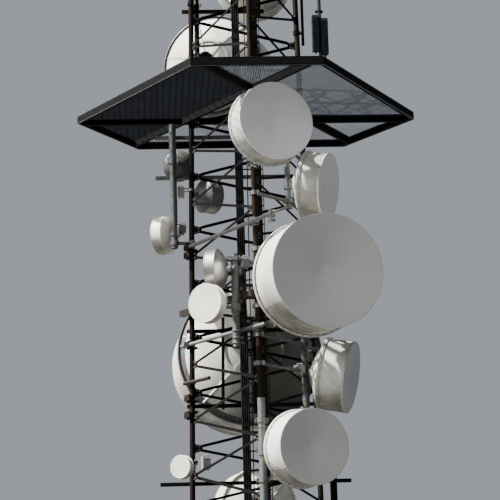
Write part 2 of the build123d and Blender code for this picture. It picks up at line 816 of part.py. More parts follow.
# Pipes that carry them, with what holds each pipe
MOUNTS = {
    "top_front": Mount(
        x=30, y=-1235, low=8450, high=9510, outer=NARROW_PIPE, antennas=("top_front",),
        stay_steps=(8.5, 10.5), legs=("near",),
    ),
    "upper_right": Mount(
        x=570, y=-485, low=7960, high=9620, outer=NARROW_PIPE, antennas=("upper_right",),
        stay_steps=(9.5, 11.5), legs=("near", "right"),
    ),
    "big": Mount(
        x=616, y=-440, low=6150, high=7350, outer=WIDE_PIPE, antennas=("big",),
        stay_steps=(13.5, 15.5), legs=("near", "right"),
    ),
    "lower_right": Mount(
        x=790, y=-15, low=4850, high=5960, outer=WIDE_PIPE, antennas=("lower_right",),
        stay_steps=(16.5, 17.5), legs=("near", "right"),
    ),
    "lower_front": Mount(
        x=-5, y=-1340, low=3100, high=4850, outer=WIDE_PIPE, antennas=("lower_front",),
        stay_steps=(19.5, 21.5), legs=("near",),
    ),
    "mid": Mount(
        x=-330, y=-933, low=5700, high=7150, outer=WIDE_PIPE, antennas=("mid_small", "white_small"),
    ),
    "far_left": Mount(
        x=-1230, y=525, low=7560, high=9640, outer=WIDE_PIPE, antennas=("far_left", "left_small"),
        stay_steps=(12.5,), legs=("left",),
        bars=(BackBar(z=8760, left=-1520, right=980), BackBar(z=9440, left=-1520, right=980)),
    ),
    "top_left": Mount(
        x=-785, y=650, low=9830, high=11900, outer=NARROW_PIPE, antennas=("top_left",),
        stay_steps=(3.3, 5.5), legs=("left",),
    ),
    "top_rear": Mount(
        x=240, y=640, low=11560, high=13100, outer=WIDE_PIPE, antennas=("top_rear",),
        bars=(BackBar(z=11620, left=-1030, right=350), BackBar(z=12850, left=-930, right=930)),
    ),
    "rear_large": Mount(
        x=44, y=648, low=4880, high=6400, outer=WIDE_PIPE, antennas=("rear_large",),
        bars=(BackBar(z=4980, left=-1080, right=1080), BackBar(z=6200, left=-1060, right=1060)),
    ),
    "bottom": Mount(
        x=160, y=665, low=2700, high=4000, outer=WIDE_PIPE, antennas=("bottom",),
        bars=(BackBar(z=3740, left=-1530, right=1530), BackBar(z=2800, left=-1150, right=1150)),
    ),
}


def main():
    for leg in HEADINGS:
        write(f"leg_{leg}", make_leg(leg))
    write("base_frame", make_base_frame())
    write("bracing_right_face", make_bracing("near", "right"))
    write("bracing_back_face", make_bracing("right", "left"))
    write("bracing_left_face", make_bracing("left", "near"))
    write("platform_rim", make_platform_rim())
    write("platform_beams", make_platform_beams())
    for place, face in deck_panels().items():
        write(f"deck_{place}", make_grating(face))
    write("ladder", make_ladder())
    write("ladder_stays", make_ladder_stays())
    left_feeders_x = LADDER_X - LADDER_WIDTH / 2 - FEEDER_PITCH * 3 / 2
    write("feeders_left", make_feeders(left_feeders_x, LADDER_RAIL / 2, LEFT_FEEDERS))
    write("feeders_right", make_feeders(RIGHT_FEEDERS_X, LADDER_RUNG_R, RIGHT_FEEDERS))
    for name, antenna in DISHES.items():
        write(f"dish_{name}", antenna.shell())
        write(f"cover_{name}", antenna.cover())
    for name, antenna in DRUMS.items():
        write(f"dish_{name}", antenna.drum())
    added = {"mid": make_outrigger(), "bottom": make_spare_pipe()}
    for name, mount in MOUNTS.items():
        solid = mount.solid()
        if name in added:
            solid += added[name]
        write(f"mount_{name}", solid)
    write("strut_upper", make_strut_upper(MOUNTS["upper_right"]))
    write("struts_lower", make_struts_lower())
    write("arm_behind_leg", make_leg_arm(DRUMS["behind_leg"], "left", node_z(BEHIND_LEG_STEP)))
    write("arm_tiny", make_leg_arm(DRUMS["tiny"], "left", TINY_ARM_Z))
    write("side_pole", make_side_pole())
    write("radio_stand", make_radio_stand())


main()
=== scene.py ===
import json
import math

import bpy
from mathutils import Matrix, Vector


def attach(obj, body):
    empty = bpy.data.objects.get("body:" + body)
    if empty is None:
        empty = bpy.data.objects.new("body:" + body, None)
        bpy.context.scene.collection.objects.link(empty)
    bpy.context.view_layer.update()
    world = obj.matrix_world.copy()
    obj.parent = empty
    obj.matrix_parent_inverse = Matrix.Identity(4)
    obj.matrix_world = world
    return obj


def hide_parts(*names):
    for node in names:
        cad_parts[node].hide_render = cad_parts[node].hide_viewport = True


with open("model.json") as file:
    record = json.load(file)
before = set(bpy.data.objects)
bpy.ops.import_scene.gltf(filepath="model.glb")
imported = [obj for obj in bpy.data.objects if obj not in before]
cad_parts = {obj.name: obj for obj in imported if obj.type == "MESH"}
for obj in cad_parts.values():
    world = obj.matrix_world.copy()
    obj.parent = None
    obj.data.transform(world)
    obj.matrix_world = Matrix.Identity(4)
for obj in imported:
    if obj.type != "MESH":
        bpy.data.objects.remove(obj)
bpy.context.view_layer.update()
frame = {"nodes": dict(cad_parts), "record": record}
nodes = frame["nodes"]

# Sizes shared with the part, in metres
TOWER_HEIGHT = 13.35
PLATFORM_Z = 9.8
FACE_WIDTH = 1.82
WIDENING = 0.0358
LEG_R = 0.04445
HEADINGS = {"near": 0.0, "right": 120.0, "left": 240.0}
FACE_HEADINGS = {"right": 60, "back": 180, "left": 300}
TOP_NODE_Z = 13.215
HALF_PITCH = 0.4458
BRACE_COUNT = 29
BRACE_T = 0.006
SPLICE_STEPS = (7.5, 20.5)
SPLICE_T = 0.032
SPLICE_R = 0.092
FOOT_BOTTOM_Z = 0.02
FOOT_T = 0.02
ANCHOR_COUNT = 4
ANCHOR_R = 0.125
DECK_SHORT_HALF = 0.99
DECK_SHORT_OUT = 2.65
RIM_DEPTH = 0.13
GRATING_DEPTH = 0.03
BEAM_FROM_LEG = 0.0303
REFLECTOR_WALL = 0.004
NARROW_PIPE = 0.0889
WIDE_PIPE = 0.1143
COLLAR_WALL = 0.014
COLLAR_HEIGHT = 0.07
ARM_BACK = 0.041
STRUT_R = 0.030
STRUT_OUT = 0.0795
STRUT_PAST_NEAR = 0.55
LADDER_Y = -0.35
LADDER_TOP_Z = 13.2
RUNG_R = 0.011
FEEDER_FOOT_Z = 0.6
FEEDERS = ({"x": -0.188, "y": -0.3077, "width": 0.13}, {"x": 0.120, "y": -0.3217, "width": 0.10})
REAR_BAR_HEIGHTS = (4.98, 6.20)
CASE_POLE_X = 0.970
CASE_POLE_Y = -2.500
CASE_POLE_R = 0.028
CASE_OUT = 0.0705
CASE_FOOTS = {-1: 9.920, 1: 9.870}

# Camera fitted to the photograph, floor and sky
CAMERA_AT = (-1.68, -28.48, 1.565)
CAMERA_HEADING = 3.314
CAMERA_PITCH = 11.569
CAMERA_ROLL = -1.63
CAMERA_LENS = 130.65
FLOOR_SIZE = 60.0
FLOOR_COLOR = (0.05, 0.05, 0.049)
SKY_COLOR = (0.62, 0.66, 0.72)
SKY_PALE_TO = 0.38
SKY_DARK_FROM = 0.60
SKY_LOW_STRENGTH = 0.55
SKY_HIGH_STRENGTH = 0.06

UP = Vector((0, 0, 1))


def heading_vector(heading, tilt=0.0):
    level = math.cos(math.radians(tilt))
    turn = math.radians(heading)
    return Vector((level * math.sin(turn), -level * math.cos(turn), math.sin(math.radians(tilt))))


def round_vector(radius, angle, height=0.0):
    return Vector((radius * math.cos(angle), radius * math.sin(angle), height))


def turns(count, shift=0.0):
    """Angles spread evenly over a full turn."""
    return [2 * math.pi * (i + shift) / count for i in range(count)]


def leg_spacing(z):
    return FACE_WIDTH + WIDENING * (PLATFORM_Z - z)


def leg_point(leg, z):
    direction = heading_vector(HEADINGS[leg])
    radius = leg_spacing(z) / math.sqrt(3)
    return Vector((direction.x * radius, direction.y * radius, z))


def node_z(step):
    return TOP_NODE_Z - HALF_PITCH * step


def along_frame(direction):
    """A turn that takes local Z to a direction, with local X kept level."""
    axis = Vector(direction).normalized()
    level = UP.cross(axis)
    if level.length < 1e-6:
        level = Vector((1, 0, 0))
    level.normalize()
    return Matrix((level, axis.cross(level), axis)).transposed()


def level_axes(toward):
    """The level direction of a vector, the one beside it, and the turn that lays a block along them."""
    along = Vector((toward[0], toward[1], 0)).normalized()
    side = UP.cross(along)
    return along, side, Matrix((side, along, UP)).transposed()


LEFT_FACE_OUT = heading_vector(FACE_HEADINGS["left"])


def stand(name, data):
    """A new object of the scene."""
    piece = bpy.data.objects.new(name, data)
    bpy.context.scene.collection.objects.link(piece)
    return piece


class Antenna:
    """A shrouded dish or a small closed drum, placed by the middle of its rim."""

    def __init__(self, rim, heading, diameter, shroud, depth, tilt=0, hub_r=0.05, hub_length=0.044):
        self.middle = Vector(rim)
        self.direction = heading_vector(heading, tilt)
        self.turn = along_frame(self.direction)
        self.radius = diameter / 2
        self.shroud = shroud
        self.depth = depth
        self.hub_r = hub_r
        self.back = -depth - REFLECTOR_WALL - hub_length
        self.bowl_r = (self.radius**2 + depth**2) / (2 * depth)

    def spot(self, radius, angle, height):
        return self.middle + self.turn @ round_vector(radius, angle, height)

    def outward(self, angle):
        return self.turn @ round_vector(1, angle)

    def skin_turn(self, angle):
        """A turn for a block that lies on the shroud: across, outwards, forwards."""
        out = self.outward(angle)
        return Matrix((self.direction.cross(out), out, self.direction)).transposed()

    def bowl_back(self, radius):
        return self.bowl_r - self.depth - math.sqrt((self.bowl_r + REFLECTOR_WALL) ** 2 - radius**2)

    def seat(self):
        return self.middle + self.direction * self.back


DISHES = {
    "top_front": Antenna(
        rim=(0.190, -1.648, 8.994), heading=19.7, tilt=1, diameter=1.20, shroud=0.357, depth=0.22,
        hub_r=0.09, hub_length=0.06,
    ),
    "upper_right": Antenna(
        rim=(0.900, -0.561, 8.312), heading=67.6, tilt=-8, diameter=1.06, shroud=0.33, depth=0.20,
        hub_r=0.08, hub_length=0.05,
    ),
    "big": Antenna(
        rim=(0.812, -1.050, 6.719), heading=14, tilt=-2, diameter=1.75, shroud=0.88, depth=0.33,
        hub_r=0.13, hub_length=0.08,
    ),
    "lower_front": Antenna(
        rim=(0.546, -1.525, 4.059), heading=21.9, tilt=-1, diameter=1.122, shroud=0.474, depth=0.22,
        hub_r=0.09, hub_length=0.07,
    ),
    "lower_right": Antenna(
        rim=(1.118, -0.119, 5.358), heading=72.7, tilt=-11, diameter=1.13, shroud=0.40, depth=0.20,
        hub_r=0.09, hub_length=0.06,
    ),
    "top_left": Antenna(
        rim=(-0.511, 1.106, 10.841), heading=160, diameter=1.70, shroud=0.80, depth=0.33,
        hub_r=0.13, hub_length=0.08,
    ),
    "top_rear": Antenna(
        rim=(0.240, 1.230, 12.450), heading=180, diameter=1.30, shroud=0.42, depth=0.23,
        hub_r=0.10, hub_length=0.06,
    ),
    "rear_large": Antenna(
        rim=(-0.008, 1.270, 5.904), heading=185.7, tilt=-5, diameter=2.36, shroud=1.00, depth=0.43,
        hub_r=0.15, hub_length=0.09,
    ),
    "bottom": Antenna(
        rim=(0.071, 1.298, 3.359), heading=196.7, diameter=1.27, shroud=0.45, depth=0.23,
        hub_r=0.09, hub_length=0.06,
    ),
}
DRUMS = {
    "left_small": Antenna(
        rim=(-1.306, 0.760, 7.837), heading=-119.5, diameter=0.62, shroud=0.19, depth=0.13
    ),
    "mid_small": Antenna(
        rim=(-0.569, -1.012, 6.903), heading=-108.3, diameter=0.63, shroud=0.17, depth=0.13
    ),
    "white_small": Antenna(
        rim=(-0.735, -1.278, 6.309), heading=-35.3, diameter=0.59, shroud=0.15, depth=0.12
    ),
    "behind_leg": Antenna(
        rim=(-0.735, 1.020, 8.550), heading=121.7, diameter=0.56, shroud=0.24, depth=0.12
    ),
    "far_left": Antenna(
        rim=(-1.135, 0.870, 9.045), heading=176.7, diameter=0.50, shroud=0.13, depth=0.11
    ),
    "tiny": Antenna(
        rim=(-1.160, 0.060, 3.960), heading=-33.3, diameter=0.358, shroud=0.11, depth=0.07,
        hub_r=0.04, hub_length=0.034,
    ),
}


class Mount:
    """A pipe with bands for its stays and its antennas, or else for the antenna of its own name."""

    def __init__(self, x, y, low, high, outer, antennas=(), stays=(), legs=()):
        self.foot = Vector((x, y, low))
        self.head = Vector((x, y, high))
        self.radius = outer / 2
        self.antennas = antennas
        self.stays = stays
        self.legs = legs

    def at(self, z):
        return Vector((self.foot.x, self.foot.y, z))


MOUNTS = {
    "top_front": Mount(
        x=0.030, y=-1.235, low=8.45, high=9.51, outer=NARROW_PIPE, stays=(8.5, 10.5), legs=("near",)
    ),
    "upper_right": Mount(
        x=0.570, y=-0.485, low=7.96, high=9.62, outer=NARROW_PIPE, stays=(9.5, 11.5), legs=("near", "right")
    ),
    "big": Mount(
        x=0.616, y=-0.440, low=6.15, high=7.35, outer=WIDE_PIPE, stays=(13.5, 15.5), legs=("near", "right")
    ),
    "lower_right": Mount(
        x=0.790, y=-0.015, low=4.85, high=5.96, outer=WIDE_PIPE, stays=(16.5, 17.5), legs=("near", "right")
    ),
    "lower_front": Mount(
        x=-0.005, y=-1.340, low=3.10, high=4.85, outer=WIDE_PIPE, stays=(19.5, 21.5), legs=("near",)
    ),
    "mid": Mount(
        x=-0.330, y=-0.933, low=5.70, high=7.15, outer=WIDE_PIPE, antennas=("mid_small", "white_small"),
    ),
    "far_left": Mount(
        x=-1.230, y=0.525, low=7.56, high=9.64, outer=WIDE_PIPE, antennas=("far_left", "left_small"),
        stays=(12.5,), legs=("left",),
    ),
    "top_left": Mount(
        x=-0.785, y=0.650, low=9.83, high=11.90, outer=NARROW_PIPE, stays=(3.3, 5.5), legs=("left",)
    ),
    "top_rear": Mount(x=0.240, y=0.640, low=11.56, high=13.10, outer=WIDE_PIPE),
    "rear_large": Mount(x=0.044, y=0.648, low=4.88, high=6.40, outer=WIDE_PIPE),
    "bottom": Mount(x=0.160, y=0.665, low=2.70, high=4.00, outer=WIDE_PIPE),
}


class Maker:
    """Collects simple solids into one mesh."""

    def __init__(self):
        self.verts = []
        self.faces = []

    def add(self, verts, faces):
        first = len(self.verts)
        self.verts.extend(verts)
        self.faces.extend([tuple(first + index for index in face) for face in faces])

    def prism(self, start, end, ring):
        """A bar from start to end with a section given as points in its own frame."""
        start, end = Vector(start), Vector(end)
        turn = along_frame(end - start)
        count = len(ring)
        corners = [at + turn @ Vector((x, y, 0)) for at in (start, end) for x, y in ring]
        faces = [(i, (i + 1) % count, count + (i + 1) % count, count + i) for i in range(count)]
        faces.append(tuple(reversed(range(count))))
        faces.append(tuple(range(count, 2 * count)))
        self.add(corners, faces)

    def tube(self, start, end, radius, sides):
        self.prism(start, end, [(radius * math.cos(a), radius * math.sin(a)) for a in turns(sides)])

    def run(self, points, radius, sides):
        """A bent rod through several points."""
        for start, end in zip(points, points[1:]):
            self.tube(start, end, radius, sides)

    def bar(self, start, end, width, depth):
        """Width lies level, depth stands upright to it."""
        w, d = width / 2, depth / 2
        self.prism(start, end, [(-w, -d), (w, -d), (w, d), (-w, d)])

    def block(self, middle, size, turn=Matrix.Identity(3)):
        x, y, z = (value / 2 for value in size)
        square = ((-x, -y), (x, -y), (x, y), (-x, y))
        corners = [(*corner, height) for height in (-z, z) for corner in square]
        middle = Vector(middle)
        self.add(
            [middle + turn @ Vector(corner) for corner in corners],
            [(0, 3, 2, 1), (4, 5, 6, 7), (0, 1, 5, 4), (1, 2, 6, 5), (2, 3, 7, 6), (3, 0, 4, 7)],
        )

    def bolt(self, at, direction, radius, height):
        """A hexagon head on a washer, with a stub of thread."""
        at, direction = Vector(at), Vector(direction).normalized()
        self.tube(at, at + direction * height * 0.25, radius * 1.35, 10)
        self.tube(at, at + direction * height, radius, 6)
        self.tube(at, at + direction * height * 1.7, radius * 0.5, 8)

    def spun(self, profile, middle, direction, sides, close=False):
        """A profile of radius and height turned round a direction."""
        turn = along_frame(direction)
        points = [(radius, angle, height) for radius, height in profile for angle in turns(sides)]
        verts = [middle + turn @ round_vector(*point) for point in points]
        faces = []
        rows = len(profile)
        for row in range(rows if close else rows - 1):
            nxt = (row + 1) % rows
            for i in range(sides):
                j = (i + 1) % sides
                faces.append((row * sides + i, row * sides + j, nxt * sides + j, nxt * sides + i))
        self.add(verts, faces)

    def build(self, name, look, slot):
        mesh = bpy.data.meshes.new(name)
        mesh.from_pydata([tuple(v) for v in self.verts], [], self.faces)
        mesh.materials.append(MATERIALS[look])
        piece = stand(name, mesh)
        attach(piece, "root")
        return piece


def feed(tree, node, inputs):
    """Links each input of a node to an output of another, or sets its value."""
    for name, value in inputs.items():
        socket = node.inputs[name]
        if isinstance(value, bpy.types.NodeSocket):
            tree.links.new(value, socket)
        elif socket.type == "RGBA":
            socket.default_value = (*value, 1)
        else:
            socket.default_value = value
    return node


class Shader:
    """A node material, built step by step."""

    def __init__(self, name):
        self.material = bpy.data.materials.new(name)
        self.material.use_nodes = True
        self.tree = self.material.node_tree
        self.place = self.node("ShaderNodeTexCoord", {}).outputs["Object"]

    def node(self, kind, inputs):
        return feed(self.tree, self.tree.nodes.new(kind), inputs)

    def stretched(self, scale):
        return self.node("ShaderNodeMapping", {"Scale": scale, "Vector": self.place}).outputs["Vector"]

    def noise(self, scale, detail=6.0, rough=0.6, stretch=(1, 1, 1)):
        place = self.stretched(stretch)
        inputs = {"Scale": scale, "Detail": detail, "Roughness": rough, "Vector": place}
        return self.node("ShaderNodeTexNoise", inputs).outputs["Fac"]

    def cells(self, scale):
        inputs = {"Scale": scale, "Vector": self.stretched((1, 1, 1))}
        return self.node("ShaderNodeTexVoronoi", inputs).outputs["Color"]

    def ramp(self, value, low, high, start=0.0, end=1.0):
        inputs = {"Value": value, "From Min": low, "From Max": high, "To Min": start, "To Max": end}
        ramp = self.node("ShaderNodeMapRange", inputs)
        ramp.clamp = True
        return ramp.outputs["Result"]

    def mix(self, share, first, second):
        mix = self.tree.nodes.new("ShaderNodeMix")
        mix.data_type = "RGBA"
        return feed(self.tree, mix, {"Factor": share, "A": first, "B": second}).outputs["Result"]

    def reckon(self, operation, first, second):
        node = self.node("ShaderNodeMath", {0: first, 1: second})
        node.operation = operation
        return node.outputs["Value"]

    def times(self, first, second):
        return self.reckon("MULTIPLY", first, second)

    def reckon_vector(self, operation, vector, other=(0, 0, 0)):
        node = self.node("ShaderNodeVectorMath", {0: vector, 1: other})
        node.operation = operation
        return node.outputs["Value" if operation == "LENGTH" else "Vector"]

    def share_of(self, vector, axis):
        return self.node("ShaderNodeSeparateXYZ", {"Vector": vector}).outputs[axis]

    def along(self, axis):
        return self.share_of(self.place, axis)

    def facing(self, axis):
        """How far the surface faces along one axis of the frame, from -1 to 1."""
        return self.share_of(self.node("ShaderNodeNewGeometry", {}).outputs["Normal"], axis)

    def within(self, axis, low, high):
        """1 where the place along one axis lies between two values, else 0."""
        place = self.along(axis)
        return self.times(self.reckon("GREATER_THAN", place, low), self.reckon("LESS_THAN", place, high))

    def beyond(self, x, y, radius):
        """1 outside an upright cylinder, else 0."""
        away = self.reckon_vector("SUBTRACT", self.place, (x, y, 0))
        level = self.reckon_vector("MULTIPLY", away, (1, 1, 0))
        return self.reckon("GREATER_THAN", self.reckon_vector("LENGTH", level), radius)

    def finish(self, color, roughness, metallic=0.0, bump=None, strength=0.3, distance=0.002, shine=0.5):
        inputs = {"Base Color": color, "Roughness": roughness, "Metallic": metallic}
        inputs["Specular IOR Level"] = shine
        if bump is not None:
            height = {"Strength": strength, "Distance": distance, "Height": bump}
            inputs["Normal"] = self.node("ShaderNodeBump", height).outputs["Normal"]
        feed(self.tree, self.tree.nodes["Principled BSDF"], inputs)
        return self.material


def rust_color(shader, base, dark, bright, scale=7.0):
    streaks = shader.noise(scale, detail=8.0, rough=0.65, stretch=(1, 1, 0.22))
    flakes = shader.noise(scale * 9, detail=5.0)
    color = shader.mix(shader.ramp(streaks, 0.40, 0.62), base, dark)
    return shader.mix(shader.times(shader.ramp(flakes, 0.52, 0.70), 0.7), color, bright), flakes


def zinc_color(shader, base, dull, stain):
    spangle = shader.cells(55.0)
    dullness = shader.noise(3.5, stretch=(1, 1, 0.4))
    runs = shader.noise(9.0, stretch=(1, 1, 0.12))
    color = shader.mix(shader.ramp(dullness, 0.38, 0.62), base, dull)
    bright = shader.mix(shader.ramp(dullness, 0.0, 1.0, 0.05, 0.16), color, spangle)
    return shader.mix(shader.times(shader.ramp(runs, 0.58, 0.72), 0.6), bright, stain), dullness


def rusted(name, base, dark, bright, scale=7.0):
    """Old paint with rust that runs down in streaks, dark scale and brighter flakes."""
    shader = Shader(name)
    color, flakes = rust_color(shader, base, dark, bright, scale)
    roughness = shader.ramp(flakes, 0.3, 0.7, 0.6, 0.9)
    return shader.finish(color, roughness, bump=flakes, strength=0.5, distance=0.003, shine=0.10)


def galvanised(name, base, dull, stain):
    """Zinc with faint spangle, dull patches and brown runs."""
    shader = Shader(name)
    color, dullness = zinc_color(shader, base, dull, stain)
    roughness = shader.ramp(dullness, 0.3, 0.7, 0.42, 0.65)
    return shader.finish(color, roughness, metallic=0.35, bump=dullness, strength=0.2)


def part_rusted(name, zinc, rust, low, high, pipe=None):
    """Zinc, but rusted between two heights, away from a pipe that stays grey."""
    shader = Shader(name)
    grey, dullness = zinc_color(shader, **zinc)
    brown, _ = rust_color(shader, **rust)
    share = shader.within("Z", low, high)
    if pipe:
        share = shader.times(share, shader.beyond(**pipe))
    return shader.finish(shader.mix(share, grey, brown), 0.6, metallic=0.2, bump=dullness, strength=0.2)


def enamelled(name, base, shade, moss_and_shade, underside_share, painted_shade_x=None):
    """White coated metal with grime, runs of dirt and mossy specks, darker towards what faces down, and
    painted shade over one side where an X span is given.
    """
    shader = Shader(name)
    grime = shader.noise(2.2, detail=8.0, rough=0.62)
    runs = shader.noise(6.5, stretch=(1, 1, 0.10))
    specks = shader.noise(60.0, detail=3.0, rough=0.5)
    color = shader.mix(shader.ramp(grime, 0.42, 0.68, 0.0, 0.7), base, shade)
    color = shader.mix(shader.times(shader.ramp(runs, 0.55, 0.72), 0.5), color, shade)
    color = shader.mix(shader.times(shader.ramp(specks, 0.62, 0.72), 0.35), color, moss_and_shade)
    # Darker on what faces down, mixed towards the dark colour.
    below = shader.ramp(shader.facing("Z"), -0.10, -0.75, 0.0, underside_share)
    color = shader.mix(shader.times(below, shader.ramp(grime, 0.3, 0.6, 0.45, 1.0)), color, moss_and_shade)
    # Painted shade: where the bowl's back is turned to -Y, across the given X span, it is darkened where a
    # shadow falls.
    if painted_shade_x:
        painted_shade_side = shader.ramp(shader.facing("Y"), -0.30, -0.60)
        share = shader.times(painted_shade_side, shader.ramp(shader.along("X"), *painted_shade_x, 0.0, 0.92))
        color = shader.mix(share, color, moss_and_shade)
    return shader.finish(color, shader.ramp(grime, 0.3, 0.7, 0.35, 0.6), bump=grime, strength=0.12)


def spun_metal(name, base, dull):
    """Bare aluminium, still bright, with dull blotches."""
    shader = Shader(name)
    blotch = shader.noise(3.0)
    color = shader.mix(shader.ramp(blotch, 0.40, 0.66), base, dull)
    roughness = shader.ramp(blotch, 0.3, 0.7, 0.30, 0.42)
    return shader.finish(color, roughness, metallic=0.85, bump=blotch, strength=0.08)


def stretched_cloth(name, base, shade):
    """The coated cloth of a dish's front: a fine weave, faint blotches and specks of dirt."""
    shader = Shader(name)
    blotch = shader.noise(1.6, detail=7.0)
    weave = shader.noise(420.0, detail=2.0, rough=0.5)
    specks = shader.noise(38.0, detail=3.0, rough=0.5)
    color = shader.mix(shader.ramp(blotch, 0.40, 0.66, 0.0, 0.55), base, shade)
    color = shader.mix(shader.times(shader.ramp(specks, 0.64, 0.74), 0.3), color, shade)
    return shader.finish(color, 0.62, bump=weave, strength=0.10, distance=0.0006)


def coated(name, base, wear, scale, roughness=0.6):
    """Dark paint or jacket with worn, dusty patches."""
    shader = Shader(name)
    dust = shader.noise(scale, detail=7.0, rough=0.62, stretch=(1, 1, 0.5))
    fine = shader.noise(scale * 8, detail=4.0, rough=0.5)
    color = shader.mix(shader.ramp(dust, 0.42, 0.70, 0.0, 0.8), base, wear)
    polish = shader.ramp(fine, 0.3, 0.7, roughness - 0.1, roughness + 0.2)
    return shader.finish(color, polish, bump=fine, strength=0.2, distance=0.001, shine=0.12)


# Finishes: those of the slots, and some for single pieces
ENAMEL = dict(base=(0.72, 0.71, 0.67), shade=(0.46, 0.44, 0.38), underside_share=0.80)
ZINCS = {
    "galvanised": dict(base=(0.085, 0.095, 0.095), dull=(0.048, 0.055, 0.054), stain=(0.040, 0.030, 0.020)),
    # A dark copy of the zinc: painted shade for pipes and rings that lie in shade.
    "dark_zinc": dict(base=(0.030, 0.034, 0.036), dull=(0.016, 0.018, 0.019), stain=(0.014, 0.010, 0.007)),
    "strut_metal": dict(base=(0.12, 0.122, 0.12), dull=(0.08, 0.085, 0.085), stain=(0.05, 0.038, 0.025)),
    "bolt_steel": dict(base=(0.12, 0.125, 0.125), dull=(0.06, 0.06, 0.06), stain=(0.06, 0.04, 0.025)),
}
RUSTS = {
    "rusted_leg_left": dict(
        base=(0.008, 0.003, 0.0025), dark=(0.002, 0.0015, 0.0015), bright=(0.026, 0.011, 0.007)
    ),
    "rusted_leg_near": dict(
        base=(0.013, 0.0065, 0.003), dark=(0.003, 0.002, 0.0015), bright=(0.042, 0.020, 0.008)
    ),
    "mossy_leg_right": dict(
        base=(0.010, 0.010, 0.005), dark=(0.003, 0.003, 0.0025), bright=(0.028, 0.026, 0.011)
    ),
    "bracing": dict(
        base=(0.0016, 0.0014, 0.0014), dark=(0.001, 0.001, 0.001), bright=(0.006, 0.004, 0.003), scale=5.0
    ),
    "dark_steel": dict(
        base=(0.014, 0.011, 0.010), dark=(0.006, 0.005, 0.005), bright=(0.04, 0.024, 0.015), scale=12.0
    ),
}
COATS = {
    # Dark platform steel, made near black so that it also paints the shade in the rim's recessed web.
    "platform_steel": dict(
        base=(0.001, 0.0013, 0.0015), wear=(0.003, 0.0037, 0.004), scale=5.0, roughness=0.8
    ),
    "grating": dict(base=(0.006, 0.008, 0.012), wear=(0.013, 0.016, 0.021), scale=6.0),
    "cable_jacket": dict(base=(0.004, 0.004, 0.005), wear=(0.012, 0.012, 0.012), scale=9.0),
    "radio_case": dict(base=(0.012, 0.014, 0.017), wear=(0.035, 0.038, 0.042), scale=12.0, roughness=0.5),
    "mesh_steel": dict(base=(0.060, 0.070, 0.088), wear=(0.10, 0.112, 0.13), scale=6.0),
    "seam_shade": dict(base=(0.020, 0.019, 0.018), wear=(0.05, 0.048, 0.045), scale=10.0, roughness=0.7),
}
ENAMELS = {
    "dish_shell": dict(ENAMEL, moss_and_shade=(0.075, 0.075, 0.040)),
    # The bowl of the largest rear dish, with painted shade over its right-hand side.
    "rear_bowl": dict(ENAMEL, moss_and_shade=(0.040, 0.042, 0.034), painted_shade_x=(-0.42, 0.10)),
    "drum_plastic": dict(
        base=(0.72, 0.71, 0.64), shade=(0.46, 0.44, 0.37), moss_and_shade=(0.085, 0.085, 0.045), underside_share=0.90
    ),
    "unit_paint": dict(
        base=(0.40, 0.41, 0.41), shade=(0.16, 0.16, 0.155), moss_and_shade=(0.07, 0.07, 0.05), underside_share=0.3
    ),
    # Dark copies of the drum colour: painted shade for two drums that hang in shade.
    "olive_drum": dict(
        base=(0.085, 0.095, 0.085), shade=(0.045, 0.050, 0.043), moss_and_shade=(0.020, 0.022, 0.014), underside_share=0.6
    ),
    "grey_drum": dict(
        base=(0.13, 0.13, 0.13), shade=(0.09, 0.088, 0.085), moss_and_shade=(0.035, 0.033, 0.028), underside_share=0.6
    ),
}
CLOTHS = {
    "dish_cover": dict(base=(0.46, 0.46, 0.455), shade=(0.40, 0.395, 0.385)),
    "pale_cloth": dict(base=(0.78, 0.78, 0.77), shade=(0.68, 0.675, 0.66)),
}
SPUN = {"silver_drum": dict(base=(0.45, 0.45, 0.44), dull=(0.26, 0.26, 0.26))}
PART_RUSTED = {
    "outrigger_metal": dict(
        zinc=ZINCS["galvanised"], rust=RUSTS["rusted_leg_near"], low=6.435, high=6.545,
        pipe=dict(x=-0.330, y=-0.933, radius=0.076),
    ),
    "struts_metal": dict(zinc=ZINCS["strut_metal"], rust=RUSTS["rusted_leg_near"], low=5.0, high=5.6),
}
MATERIALS = {}
for finish, looks in (
    (galvanised, ZINCS), (rusted, RUSTS), (coated, COATS), (enamelled, ENAMELS), (stretched_cloth, CLOTHS),
    (spun_metal, SPUN), (part_rusted, PART_RUSTED),
):
    for name, look in looks.items():
        MATERIALS[name] = finish(name, **look)
OWN_LOOKS = {
    "cover_top_front": "pale_cloth",
    "cover_upper_right": "pale_cloth",
    "dish_far_left": "olive_drum",
    "dish_behind_leg": "grey_drum",
    "dish_mid_small": "silver_drum",
    "dish_rear_large": "rear_bowl",
    # Two pipes in a dark zinc that paints the shade they hang in.
    "mount_far_left": "dark_zinc",
    "mount_lower_right": "dark_zinc",
    "mount_mid": "outrigger_metal",
    "strut_upper": "strut_metal",
    "struts_lower": "struts_metal",
}

slots = {entry["node"]: entry["material_slot"] for entry in frame["record"]["subparts"]}
for name, node in nodes.items():
    node.data.materials.clear()
    node.data.materials.append(MATERIALS[OWN_LOOKS.get(name, slots[name])])

